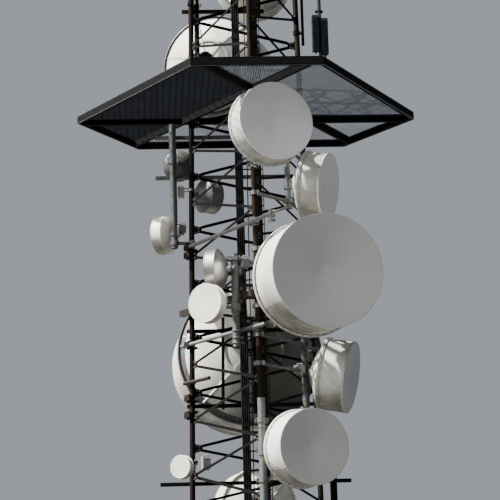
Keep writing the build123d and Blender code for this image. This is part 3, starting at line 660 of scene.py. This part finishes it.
# Deck sheets: bearing bars with cross bars, or crossed strips of a mesh
SHEET_INSET = 0.011
SHEET_GAP = 0.002
LINE_INSET = 0.006
BAR_EDGE = 0.005
BEARING_PITCH = 0.034
BEARING_T = 0.003
CROSS_PITCH = 0.10
CROSS_T = 0.006
CROSS_DEPTH = 0.007
TOP_SINK = 0.001
MESH_EDGE = 0.030
MESH_EDGE_T = 0.006
MESH_LEAN = 32.0
MESHES = {
    "close mesh": {"pitch": 0.036, "strip": 0.0085, "sheet": 0.005},
    "open mesh": {"pitch": 0.045, "strip": 0.006, "sheet": 0.002},
}
DECKS = {
    "near": {"kind": "close mesh", "past": ("right", "left")},
    "right_front": {"kind": "close mesh", "past": ("right",), "turn": 60},
    "right": {"kind": "open mesh", "past": ("right", "back")},
    "left_front": {"kind": "bars", "past": ("left",)},
    "left": {"kind": "bars", "past": ("back", "left")},
    "back": {"kind": "open mesh", "past": ("back",)},
}


def edges(polygon):
    return zip(polygon, polygon[1:] + polygon[:1])


def clipped(polygon, normal, offset, keep_far):
    """The part of a convex outline on one side of a line."""
    result = []
    hand = 1 if keep_far else -1
    for a, b in edges(polygon):
        da, db = hand * (a.dot(normal) - offset), hand * (b.dot(normal) - offset)
        if da >= 0:
            result.append(a)
        if da * db < 0:
            result.append(a + (b - a) * (da / (da - db)))
    return result


def span(polygon, direction, offset):
    """Where a line across a convex outline enters and leaves it."""
    normal = Vector((-direction.y, direction.x, 0))
    ends = []
    for a, b in edges(polygon):
        da, db = a.dot(normal) - offset, b.dot(normal) - offset
        if da * db < 0:
            ends.append(a + (b - a) * (da / (da - db)))
    if len(ends) != 2:
        return None
    return sorted(ends, key=lambda point: point.dot(direction))


def deck_outline(inset):
    polygon = []
    for heading in HEADINGS.values():
        out, along = heading_vector(heading), heading_vector(heading + 90)
        polygon.append(out * DECK_SHORT_OUT - along * DECK_SHORT_HALF)
        polygon.append(out * DECK_SHORT_OUT + along * DECK_SHORT_HALF)
    sides = []
    for start, end in edges(polygon):
        edge = (end - start).normalized()
        normal = Vector((edge.y, -edge.x, 0))
        if normal.dot(start) < 0:
            normal = -normal
        sides.append((normal, normal.dot(start)))
    for normal, offset in sides:
        polygon = clipped(polygon, normal, offset - inset, False)
    return polygon


def deck_panel(past):
    """The outline of one sheet, which lies past some of the three beams and short of the others."""
    polygon = deck_outline(SHEET_INSET)
    beam_out = leg_spacing(PLATFORM_Z - RIM_DEPTH) / (2 * math.sqrt(3)) + LEG_R + BEAM_FROM_LEG
    for face, heading in FACE_HEADINGS.items():
        far = face in past
        offset = beam_out + (SHEET_GAP if far else -SHEET_GAP)
        polygon = clipped(polygon, heading_vector(heading), offset, far)
    return polygon


def edge_band(maker, polygon, width, z_low, z_high):
    middle = sum(polygon, Vector((0, 0, 0))) / len(polygon)
    lift = UP * (z_low + z_high) / 2
    for start, end in edges(polygon):
        edge = (end - start).normalized()
        inward = Vector((-edge.y, edge.x, 0))
        if inward.dot(middle - start) < 0:
            inward = -inward
        shift = inward * width / 2
        maker.bar(start + shift + lift, end + shift + lift, width, z_high - z_low)


def deck_lines(maker, polygon, direction, pitch, thick, z_low, z_high):
    normal = Vector((-direction.y, direction.x, 0))
    reach = [point.dot(normal) for point in polygon]
    offset = math.ceil(min(reach) / pitch) * pitch
    lift = UP * (z_low + z_high) / 2
    step = direction * LINE_INSET
    while offset < max(reach):
        ends = span(polygon, direction, offset)
        if ends and (ends[1] - ends[0]).length > 3 * LINE_INSET:
            maker.bar(ends[0] + step + lift, ends[1] - step + lift, thick, z_high - z_low)
        offset += pitch


def dress_deck(place, kind, past, turn=90):
    """A welded grating of deep bars, or a fine mesh of close or of wide strips."""
    polygon = deck_panel(past)
    maker = Maker()
    low, high = PLATFORM_Z - GRATING_DEPTH, PLATFORM_Z
    top = high - TOP_SINK
    edge_band(maker, polygon, BAR_EDGE, low, high)
    if kind == "bars":
        deck_lines(maker, polygon, heading_vector(turn), BEARING_PITCH, BEARING_T, low, high)
        deck_lines(maker, polygon, heading_vector(turn + 90), CROSS_PITCH, CROSS_T, top - CROSS_DEPTH, top)
        look = "grating"
    else:
        mesh = MESHES[kind]
        edge_band(maker, polygon, MESH_EDGE, high - MESH_EDGE_T, high)
        for lean in (-MESH_LEAN, MESH_LEAN):
            direction = heading_vector(turn + lean)
            deck_lines(maker, polygon, direction, mesh["pitch"], mesh["strip"], top - mesh["sheet"], top)
        look = "mesh_steel"
    piece = maker.build(f"grating_{place}", look, "grating")
    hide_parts(f"deck_{place}")


for place, deck in DECKS.items():
    dress_deck(place, **deck)

# Bolts, nuts and welds on the bracing, the splices and the feet
GUSSET_BOLTS = ({"reach": 0.075, "rise": 0.045}, {"reach": 0.115, "rise": 0.028})
SPLICE_BOLT_COUNT = 8
SPLICE_BOLT_CIRCLE = 0.072
SPLICE_GROOVE_OUT = 0.0005
SPLICE_GROOVE_HALF = 0.0015
WELD_SINK = 0.001
WELD_OUT = 0.007
WELD_HEIGHT = 0.008
ANCHOR_PARTS = (
    {"height": 0.004, "radius": 0.025, "sides": 16},
    {"height": 0.026, "radius": 0.0205, "sides": 6},
    {"height": 0.050, "radius": 0.012, "sides": 12},
)


def dress_bracing(name, leg_a, leg_b):
    """Bolt heads on the gussets of one face, outside and inside."""
    foot_a, foot_b = leg_point(leg_a, 0), leg_point(leg_b, 0)
    top_a, top_b = leg_point(leg_a, TOWER_HEIGHT), leg_point(leg_b, TOWER_HEIGHT)
    across = (foot_b - foot_a).normalized()
    rise = ((top_a + top_b) / 2 - (foot_a + foot_b) / 2).normalized()
    out = across.cross(rise)
    maker = Maker()
    for step in range(BRACE_COUNT + 1):
        leg, inward = (leg_b, -across) if step % 2 == 0 else (leg_a, across)
        root = leg_point(leg, node_z(step))
        for bolt in GUSSET_BOLTS:
            for hand in (1, -1):
                at = root + inward * bolt["reach"] + rise * bolt["rise"] * hand
                for side in (1, -1):
                    maker.bolt(at + out * side * BRACE_T / 2, out * side, radius=0.011, height=0.011)
    maker.build(name, "bolt_steel", "galvanised")


dress_bracing("bolts_right_face", "near", "right")
dress_bracing("bolts_back_face", "right", "left")
dress_bracing("bolts_left_face", "left", "near")


def dress_legs():
    bolts, welds = Maker(), Maker()
    for leg, heading in HEADINGS.items():
        for step in SPLICE_STEPS:
            z = node_z(step)
            centre = leg_point(leg, z)
            axis = (leg_point(leg, z + 1) - centre).normalized()
            turn = along_frame(axis)
            for around in turns(SPLICE_BOLT_COUNT, 0.5):
                spot = centre + turn @ round_vector(SPLICE_BOLT_CIRCLE, around)
                for out in (axis, -axis):
                    bolts.bolt(spot + out * SPLICE_T / 2, out, radius=0.011, height=0.014)
            groove_r = SPLICE_R + SPLICE_GROOVE_OUT
            groove = [(groove_r, -SPLICE_GROOVE_HALF), (groove_r, SPLICE_GROOVE_HALF)]
            welds.spun(groove, centre, axis, 48)
            for side in (-1, 1):
                toe = side * (SPLICE_T / 2 + WELD_HEIGHT)
                bead = [(LEG_R - WELD_SINK, toe), (LEG_R + WELD_OUT, side * SPLICE_T / 2)]
                welds.spun(bead, centre, axis, 40)
        foot = leg_point(leg, FOOT_BOTTOM_Z) + UP * FOOT_T
        for around in turns(ANCHOR_COUNT, 0.5):
            spot = foot + round_vector(ANCHOR_R, math.radians(heading) + around)
            for piece in ANCHOR_PARTS:
                bolts.tube(spot, spot + UP * piece["height"], piece["radius"], piece["sides"])
    bolts.build("leg_bolts", "bolt_steel", "galvanised")
    welds.build("leg_welds", "dark_steel", "bracing")


dress_legs()

# Pale bands on the platform's rim: painted highlights where its lips catch the light
RIM_EDGE_OUT = 0.002
RIM_EDGE_WIDTH = 0.010
RIM_EDGE_HEIGHT = 0.012
RIM_EDGE_PAST = 0.001


def dress_rim():
    """Pale bands along the rim's top and bottom edges, painted highlights of the lips that catch the light.
    """
    edge = Maker()
    low = PLATFORM_Z - RIM_DEPTH
    outline = deck_outline(-RIM_EDGE_OUT)
    edge_band(edge, outline, RIM_EDGE_WIDTH, low - RIM_EDGE_PAST, low + RIM_EDGE_HEIGHT)
    edge_band(edge, outline, RIM_EDGE_WIDTH, PLATFORM_Z - RIM_EDGE_HEIGHT, PLATFORM_Z + RIM_EDGE_PAST)
    edge.build("rim_painted_highlight", "strut_metal", "galvanised")


dress_rim()

# Dishes: profiles step out from the rim's radius and along the axis
EDGE_ROLL = (
    (0.020, -0.006), (0.030, -0.010), (0.034, -0.022), (0.028, -0.034), (0.012, -0.040), (0.004, -0.030),
)
SEAM_GROOVE = ((0, 0.012), (0.003, 0.014), (0.003, 0.040), (0, 0.042))
SEAM_FROM_R = 0.8
BACK_RINGS = {"rear_large": 0.085, "top_left": 0.030}
BACK_RING_OUT = 0.003
BACK_RING_SINK = 0.002
BACK_RING_RISE = 0.007
RIM_BOLT_OUT = 0.012
RIM_BOLT_FRONT = 0.010
RIM_BOLT_BACK = -0.004
HOOK = (0.016, 0.003, 0.05)
HOOK_OUT = 0.0042
HOOK_BACK = 0.030
LAP_WIDTH = 0.055
LAP_T = 0.0025
LAP_OUT = 0.0012
LAP_SHIFT = 0.006
LAP_TURN = 0.35
RIVET_OUT = 0.002
RIVET_SIDE = 0.014
RIVET_PITCH = 0.10
RIVET_FIRST = 0.055
RIVET_SPARE = 0.125
STIFF_RING_HALF = 0.018
STIFF_RING_RISE = 0.028
RIB_COUNT = 6
RIB_STEPS = 7
RIB_INSET = 0.03
RIB_LIFT = 0.010
RIB_WIDTH = 0.008
RIB_DEPTH = 0.030
HUB_BOLT_SHARE = 0.82
HUB_BOLT_LIFT = 0.016


def beyond_rim(profile, radius):
    return [(radius + out, height) for out, height in profile]


def dress_back_ring(name, dish, width):
    """A rolled edge and a flat ring, both in a dark zinc that paints shade, that stiffen the back of a bowl.
    """
    ring = Maker()
    ring.spun(beyond_rim(EDGE_ROLL, dish.radius), dish.middle, dish.direction, 96)
    outer = dish.radius + BACK_RING_OUT
    inner = outer - width
    low, high = dish.bowl_back(inner), dish.bowl_back(outer)
    profile = [(inner, low + BACK_RING_SINK), (inner, low - BACK_RING_RISE),
               (outer, high - BACK_RING_RISE), (outer, high + BACK_RING_SINK)]
    ring.spun(profile, dish.middle, dish.direction, 96, close=True)
    ring.build(f"back_ring_{name}", "dark_zinc", "galvanised")


def dress_shroud(trim, dish, joints):
    """Lapped joints along the shroud, each with two rows of rivets."""
    for angle in turns(joints, LAP_TURN):
        lap = (LAP_WIDTH, LAP_T, dish.shroud - LAP_WIDTH)
        middle = dish.spot(dish.radius + LAP_OUT, angle, dish.shroud / 2 + LAP_SHIFT)
        trim.block(middle, lap, dish.skin_turn(angle))
        rows = max(3, round(dish.shroud / RIVET_PITCH))
        for row in range(rows):
            height = RIVET_FIRST + (dish.shroud - RIVET_SPARE) * row / (rows - 1)
            for side in (-RIVET_SIDE, RIVET_SIDE):
                spot = dish.spot(dish.radius + RIVET_OUT, angle + side / dish.radius, height)
                trim.bolt(spot, dish.outward(angle), radius=0.004, height=0.003)


def dress_bowl(trim, dish):
    """A stiffening ring and ribs on the back of the bowl."""
    ring_r = max(0.42 * dish.radius, dish.hub_r + 0.06)
    ring_z = dish.bowl_back(ring_r)
    inner, outer, top = ring_r - STIFF_RING_HALF, ring_r + STIFF_RING_HALF, ring_z - STIFF_RING_RISE
    profile = [(inner, ring_z - 0.001), (inner, top), (outer, top), (outer, ring_z + 0.006)]
    trim.spun(profile, dish.middle, dish.direction, 72)
    reach = dish.radius - RIB_INSET - dish.hub_r
    radii = [dish.hub_r + reach * step / RIB_STEPS for step in range(RIB_STEPS + 1)]
    for angle in turns(RIB_COUNT, 0.25):
        points = [dish.spot(radius, angle, dish.bowl_back(radius) - RIB_LIFT) for radius in radii]
        for start, end in zip(points, points[1:]):
            trim.bar(start, end, RIB_WIDTH, RIB_DEPTH)


def dress_dish(name, dish):
    """A rolled rim with bolts, a dark seam, cover hooks, lapped shroud joints and ribs on the back."""
    rim, direction = dish.radius, dish.direction
    bolts, trim, seam = Maker(), Maker(), Maker()
    for angle in turns(4 * round(rim * 14)):
        for height, out in ((RIM_BOLT_FRONT, direction), (RIM_BOLT_BACK, -direction)):
            bolts.bolt(dish.spot(rim + RIM_BOLT_OUT, angle, height), out, radius=0.0065, height=0.007)
    for angle in turns(4 * round(rim * 12), 0.5):
        trim.block(dish.spot(rim + HOOK_OUT, angle, dish.shroud - HOOK_BACK), HOOK, dish.skin_turn(angle))
    if name in BACK_RINGS:
        dress_back_ring(name, dish, BACK_RINGS[name])
    else:
        trim.spun(beyond_rim(EDGE_ROLL, rim), dish.middle, direction, 96)
    if rim > SEAM_FROM_R:
        seam.spun(beyond_rim(SEAM_GROOVE, rim), dish.middle, direction, 96)
        seam.build(f"seam_{name}", "seam_shade", "dish_shell")
    dress_shroud(trim, dish, 4 if rim > 0.5 else 3)
    dress_bowl(trim, dish)
    for angle in turns(8):
        spot = dish.spot(dish.hub_r * HUB_BOLT_SHARE, angle, dish.back - HUB_BOLT_LIFT)
        bolts.bolt(spot, -direction, radius=0.009, height=0.010)
    bolts.build(f"bolts_{name}", "bolt_steel", "galvanised")
    trim.build(f"trim_{name}", OWN_LOOKS.get(f"dish_{name}", "dish_shell"), "dish_shell")


for name, dish in DISHES.items():
    dress_dish(name, dish)

# Small closed antennas: the roll lies by the rim, the lip by the front
DRUM_ROLL = ((0, 0.0), (0.006, 0.002), (0.008, 0.008), (0.006, 0.014), (0, 0.016))
DRUM_LIP = ((0, -0.020), (0.005, -0.018), (0.006, -0.004), (-0.006, 0.003), (-0.016, 0))
CATCH = (0.020, 0.006, 0.035)
CATCH_OUT = 0.003
CATCH_BACK = 0.030


def dress_drum(name, drum):
    """A rolled edge, a rounded front lip and small catches on a closed antenna."""
    trim = Maker()
    trim.spun(beyond_rim(DRUM_ROLL, drum.radius), drum.middle, drum.direction, 72)
    front = drum.middle + drum.direction * drum.shroud
    trim.spun(beyond_rim(DRUM_LIP, drum.radius), front, drum.direction, 72)
    for angle in turns(8, 0.5):
        middle = drum.spot(drum.radius + CATCH_OUT, angle, drum.shroud - CATCH_BACK)
        trim.block(middle, CATCH, drum.skin_turn(angle))
    trim.build(f"trim_{name}", OWN_LOOKS.get(f"dish_{name}", "drum_plastic"), "drum_plastic")


for name, drum in DRUMS.items():
    dress_drum(name, drum)

# Clamps: the bolted ears of a band, and a bent rod through a plate
EAR_WIDTH = 0.040
EAR_T = 0.024
EAR_OUT = 0.016
EAR_BOLT_OUT = 0.004
PLATE_T = 0.010
PLATE_HEIGHT = 0.045
PLATE_SPARE = 0.05
PLATE_OFF = 0.006
NUT_OFF = 0.011
NUT_HEIGHT = 0.010
CAP_T = 0.006
CAP_OUT = 0.004


def clamp_ears(maker, centre, toward, radius, height):
    """The bolted ears of a band that goes round an upright tube."""
    along, side, turn = level_axes(toward)
    for hand in (-1, 1):
        middle = centre + side * hand * (radius + EAR_OUT)
        maker.block(middle, (EAR_WIDTH, EAR_T, height * 0.9), turn)
        for lift in (-height / 4, height / 4):
            spot = middle + UP * lift + side * hand * EAR_BOLT_OUT
            for out in (along, -along):
                maker.bolt(spot + out * EAR_T / 2, out, radius=0.009, height=0.010)


def u_bolt(maker, centre, toward, radius, reach, rod=0.006):
    """A bent rod round an upright tube, through a plate, with nuts on its two ends."""
    along, side, turn = level_axes(toward)
    bend = radius + rod
    arc = [centre + (side * math.cos(a) - along * math.sin(a)) * bend for a in turns(16)[:9]]
    maker.run([arc[0] + along * reach] + arc + [arc[-1] + along * reach], rod, 6)
    maker.block(centre + along * (radius + PLATE_OFF), (2 * bend + PLATE_SPARE, PLATE_T, PLATE_HEIGHT), turn)
    for hand in (-1, 1):
        spot = centre + side * hand * bend + along * (radius + NUT_OFF)
        maker.tube(spot, spot + along * NUT_HEIGHT, rod * 1.9, 6)


def dress_mounts():
    bands = Maker()
    for name, mount in MOUNTS.items():
        band_r = mount.radius + COLLAR_WALL
        for held in mount.antennas or (name,):
            antenna = DISHES.get(held) or DRUMS[held]
            elbow = antenna.seat() - antenna.direction * ARM_BACK
            centre = mount.at(elbow.z)
            clamp_ears(bands, centre, elbow - centre, band_r, 2 * COLLAR_HEIGHT)
        for step in mount.stays:
            z = node_z(step)
            for leg in mount.legs:
                toward = leg_point(leg, z) - mount.at(z)
                clamp_ears(bands, mount.at(z), toward, band_r, COLLAR_HEIGHT)
                clamp_ears(bands, leg_point(leg, z), toward, LEG_R + COLLAR_WALL, COLLAR_HEIGHT)
        bands.tube(mount.head, mount.head + UP * CAP_T, mount.radius + CAP_OUT, 24)
    bands.build("band_bolts", "bolt_steel", "galvanised")


dress_mounts()

# Clamps of the sway tubes
STRUT_NEAR_HEIGHTS = (7.62, 5.97)
STRUT_LEFT_HEIGHTS = (7.57, 7.44, 5.965, 5.10, 4.83)
STRUT_POST_LIFTS = (-0.10, -0.03, 0.04)
STRUT_POST_HEADING = 150
NEAR_CLAMP_LIFT = 0.045
LEFT_CLAMP_LIFT = 0.05
LEFT_BLOCK = (0.16, 0.05, 0.07)
LEFT_BLOCK_OUT = 0.085


def dress_struts():
    """Crossed clamps where the sway tubes pass the legs, with long threaded rods."""
    pale, dark = Maker(), Maker()
    for z in STRUT_NEAR_HEIGHTS:
        for lift in (-NEAR_CLAMP_LIFT, NEAR_CLAMP_LIFT):
            u_bolt(pale, leg_point("near", z) + UP * lift, LEFT_FACE_OUT, LEG_R, rod=0.007, reach=0.13)
    for z in STRUT_LEFT_HEIGHTS:
        centre = leg_point("left", z)
        for lift in (-LEFT_CLAMP_LIFT, LEFT_CLAMP_LIFT):
            u_bolt(dark, centre + UP * lift, LEFT_FACE_OUT, LEG_R, rod=0.008, reach=0.12)
            u_bolt(dark, centre + UP * lift, -LEFT_FACE_OUT, LEG_R, rod=0.008, reach=0.10)
        turn = Matrix.Rotation(math.radians(FACE_HEADINGS["left"]), 3, "Z")
        dark.block(centre + LEFT_FACE_OUT * LEFT_BLOCK_OUT, LEFT_BLOCK, turn)
    near, left = leg_point("near", STRUT_NEAR_HEIGHTS[0]), leg_point("left", STRUT_LEFT_HEIGHTS[0])
    end = near + LEFT_FACE_OUT * STRUT_OUT + (near - left).normalized() * STRUT_PAST_NEAR
    for lift in STRUT_POST_LIFTS:
        u_bolt(pale, end + UP * lift, heading_vector(STRUT_POST_HEADING), STRUT_R, rod=0.006, reach=0.06)
    pale.build("strut_clamps", "strut_metal", "galvanised")
    dark.build("leg_clamps", "dark_steel", "bracing")


dress_struts()

# Small radios, each carried by a pipe or by the left leg
RADIOS = (
    {"at": (-1.105, 0.600, 8.520), "lean": 0.0, "size": (0.11, 0.07, 0.17), "carrier": "leg"},
    {"at": (-1.105, 0.700, 7.930), "lean": 0.3, "size": (0.13, 0.08, 0.17), "carrier": "far_left"},
    {"at": (-0.165, -0.930, 7.020), "lean": 0.2, "size": (0.13, 0.08, 0.17), "carrier": "mid"},
    {"at": (0.690, -0.135, 5.440), "lean": -0.3, "size": (0.17, 0.08, 0.13), "carrier": "lower_right"},
    {"at": (-0.800, 0.440, 4.060), "lean": 0.2, "size": (0.14, 0.08, 0.20), "carrier": "leg"},
)
RADIO_FINS = 7
FIN_T = 0.004
FIN_DEPTH = 0.018
FIN_OUT = 0.008
GRIP_RISE = 0.025
GRIP_R = 0.005
GLAND_R = 0.012
GLAND_LENGTH = 0.030
BRACKET_WIDTH = 0.035
BRACKET_T = 0.012
BRACKET_LIFT = 0.05
MID_HEAD_HEIGHTS = (7.10, 7.06)
MID_HEAD_TOWARD = (1, 0.2)
MID_HEAD_BLOCK_AT = (-0.370, -0.933, 7.08)
MID_HEAD_BLOCK = (0.17, 0.15, 0.06)
MID_CLAMP_HEIGHTS = (6.60, 6.40, 5.95, 5.84, 5.76)
LOW_CLAMP_HEIGHTS = (4.42, 4.10, 4.05, 3.30)


def radio_unit(maker, centre, facing, size):
    """A small finned radio with a handle and two glands underneath."""
    front, side, turn = level_axes(facing)
    width, depth, height = size
    maker.block(centre, size, turn)
    for fin in range(RADIO_FINS):
        shift = side * (width * 0.86) * (fin / (RADIO_FINS - 1) - 0.5)
        maker.block(centre + shift + front * (depth / 2 + FIN_OUT), (FIN_T, FIN_DEPTH, height * 0.88), turn)
    top = centre + UP * height / 2
    left, right, rise = side * width * 0.25, -side * width * 0.25, UP * GRIP_RISE
    maker.run([top + left, top + left + rise, top + right + rise, top + right], GRIP_R, 6)
    for hand in (-1, 1):
        gland = centre + side * hand * width * 0.22 - UP * height / 2
        maker.tube(gland, gland - UP * GLAND_LENGTH, GLAND_R, 8)


def dress_units():
    """Small radios, each on a bracket from the pipe or leg that carries it, and bolts on two pipes."""
    units, brackets = Maker(), Maker()
    for radio in RADIOS:
        centre = Vector(radio["at"])
        radio_unit(units, centre, (radio["lean"], -1), radio["size"])
        carrier = radio["carrier"]
        held = leg_point("left", centre.z) if carrier == "leg" else MOUNTS[carrier].at(centre.z)
        for lift in (0, BRACKET_LIFT):
            brackets.bar(centre + UP * lift, held + UP * lift, BRACKET_WIDTH, BRACKET_T)
    mid, low = MOUNTS["mid"], MOUNTS["lower_front"]
    for z in MID_HEAD_HEIGHTS:
        u_bolt(brackets, mid.at(z), MID_HEAD_TOWARD, mid.radius, rod=0.007, reach=0.07)
    brackets.block(MID_HEAD_BLOCK_AT, MID_HEAD_BLOCK)
    for z in MID_CLAMP_HEIGHTS:
        u_bolt(brackets, mid.at(z), -LEFT_FACE_OUT, mid.radius, rod=0.008, reach=0.09)
    for z in LOW_CLAMP_HEIGHTS:
        u_bolt(brackets, low.at(z), (0, 1), low.radius, rod=0.007, reach=0.08)
    units.build("radio_units", "unit_paint", "galvanised")
    brackets.build("unit_brackets", "strut_metal", "galvanised")


dress_units()

# The tube behind the two bars of the largest rear dish
REAR_PIPE_FOOT = Vector((-0.498, 0.700, 4.930))
REAR_PIPE_HEAD = Vector((-0.465, 0.686, 6.430))
REAR_PIPE_R = 0.026


def dress_rear_pipe():
    """A tube clamped behind the two bars that carry the largest rear dish."""
    pipe = Maker()
    pipe.tube(REAR_PIPE_FOOT, REAR_PIPE_HEAD, REAR_PIPE_R, 16)
    for z in REAR_BAR_HEIGHTS:
        share = (z - REAR_PIPE_FOOT.z) / (REAR_PIPE_HEAD.z - REAR_PIPE_FOOT.z)
        u_bolt(pipe, REAR_PIPE_FOOT.lerp(REAR_PIPE_HEAD, share), (0, -1), REAR_PIPE_R, reach=0.09)
    pipe.build("rear_pipe", "dark_steel", "bracing")


dress_rear_pipe()

# Straps of the feeder cables, and the rail on the ladder's rungs
STRAP_FIRST = 0.35
STRAP_LAST = 0.2
STRAP_PITCH = 0.90
STRAP_SPARE = 0.008
STRAP_DEPTH = 0.040
STRAP_HEIGHT = 0.022
RAIL_WIDTH = 0.022
RAIL_T = 0.016
RAIL_FOOT = (-0.115, 0.45)
RAIL_HEAD = (-0.030, 13.15)


def dress_feeders():
    """Straps round the feeder bundles, and the thin safety rail on the ladder's rungs."""
    straps, rail = Maker(), Maker()
    for bundle in FEEDERS:
        z = FEEDER_FOOT_Z + STRAP_FIRST
        while z < LADDER_TOP_Z - STRAP_LAST:
            middle = Vector((bundle["x"], bundle["y"], z))
            straps.block(middle, (bundle["width"] + STRAP_SPARE, STRAP_DEPTH, STRAP_HEIGHT))
            front = middle - Vector((0, STRAP_DEPTH / 2, 0))
            straps.bolt(front, (0, -1, 0), radius=0.008, height=0.008)
            z += STRAP_PITCH
    y = LADDER_Y - RUNG_R - RAIL_T / 2
    (low_x, low_z), (high_x, high_z) = RAIL_FOOT, RAIL_HEAD
    rail.bar((low_x, y, low_z), (high_x, y, high_z), RAIL_WIDTH, RAIL_T)
    straps.build("feeder_straps", "dark_steel", "galvanised")
    rail.build("safety_rail", "dark_steel", "bracing")


dress_feeders()

# Fins and straps of the two equipment cases
CASE_FINS = 6
CASE_FIN = (0.004, 0.016, 0.50)
CASE_FIN_SPAN = 0.080
CASE_FIN_OUT = 0.072
CASE_MIDDLE = 0.275
CASE_STRAP = (0.100, 0.138, 0.020)
CASE_STRAP_LIFTS = (0.08, 0.46)
CASE_GLAND_R = 0.014
CASE_GLAND_LENGTH = 0.035
CASE_CLAMP_HEIGHTS = (10.55, 10.80, 11.00)


def dress_radio_stand():
    """Fins, glands and straps on the two cases at the platform's front corner."""
    cases, steel = Maker(), Maker()
    for hand, low in CASE_FOOTS.items():
        case = Vector((CASE_POLE_X + hand * CASE_OUT, CASE_POLE_Y, low))
        for fin in range(CASE_FINS):
            shift = CASE_FIN_SPAN * (fin / (CASE_FINS - 1) - 0.5)
            cases.block(case + Vector((shift, -CASE_FIN_OUT, CASE_MIDDLE)), CASE_FIN)
        for lift in CASE_STRAP_LIFTS:
            steel.block(case + UP * lift, CASE_STRAP)
        steel.tube(case, case - UP * CASE_GLAND_LENGTH, CASE_GLAND_R, 10)
    for z in CASE_CLAMP_HEIGHTS:
        u_bolt(steel, Vector((CASE_POLE_X, CASE_POLE_Y, z)), (0, 1), CASE_POLE_R, reach=0.05)
    cases.build("case_fins", "radio_case", "radio_case")
    steel.build("case_straps", "dark_steel", "galvanised")


dress_radio_stand()


def add_camera():
    data = bpy.data.cameras.new("camera")
    data.lens = CAMERA_LENS
    data.sensor_width = 36.0
    data.sensor_fit = "HORIZONTAL"
    data.clip_end = 200.0
    camera = stand("camera", data)
    heading, pitch, roll = (math.radians(a) for a in (CAMERA_HEADING, CAMERA_PITCH, CAMERA_ROLL))
    forward = Vector((
        math.sin(heading) * math.cos(pitch), math.cos(heading) * math.cos(pitch), math.sin(pitch),
    ))
    level_right = Vector((math.cos(heading), -math.sin(heading), 0))
    level_up = level_right.cross(forward)
    right = math.cos(roll) * level_right + math.sin(roll) * level_up
    up = -math.sin(roll) * level_right + math.cos(roll) * level_up
    turn = Matrix((right, up, -forward)).transposed().to_4x4()
    camera.matrix_world = Matrix.Translation(CAMERA_AT) @ turn
    bpy.context.scene.camera = camera


def add_floor():
    half = FLOOR_SIZE / 2
    corners = [(-half, -half, 0), (half, -half, 0), (half, half, 0), (-half, half, 0)]
    mesh = bpy.data.meshes.new("floor")
    mesh.from_pydata(corners, [], [(0, 1, 2, 3)])
    mesh.materials.append(Shader("floor_pale").finish(FLOOR_COLOR, 0.8))
    floor = stand("floor", mesh)


def add_sky():
    """A sky that is pale near the horizon and darker overhead."""
    world = bpy.data.worlds.new("soft_sky")
    world.use_nodes = True
    tree = world.node_tree
    place = tree.nodes.new("ShaderNodeTexCoord").outputs["Generated"]
    height = feed(tree, tree.nodes.new("ShaderNodeSeparateXYZ"), {"Vector": place}).outputs["Z"]
    inputs = {"Value": height, "From Min": SKY_PALE_TO, "From Max": SKY_DARK_FROM,
              "To Min": SKY_LOW_STRENGTH, "To Max": SKY_HIGH_STRENGTH}
    strength = feed(tree, tree.nodes.new("ShaderNodeMapRange"), inputs).outputs["Result"]
    feed(tree, tree.nodes["Background"], {"Color": SKY_COLOR, "Strength": strength})
    bpy.context.scene.world = world


def add_sun(name, toward, strength, softness, color):
    light = bpy.data.lights.new(name, "SUN")
    light.energy = strength
    light.angle = math.radians(softness)
    light.color = color
    stand(name, light).matrix_world = along_frame(-Vector(toward)).to_4x4()


add_camera()
add_floor()
add_sky()
add_sun("key", toward=(0.60, 0.08, -0.795), strength=18.0, softness=1.2, color=(1.0, 0.97, 0.92))
add_sun("glow", toward=(0.68, 0.38, -0.63), strength=4.0, softness=50.0, color=(1.0, 0.98, 0.95))
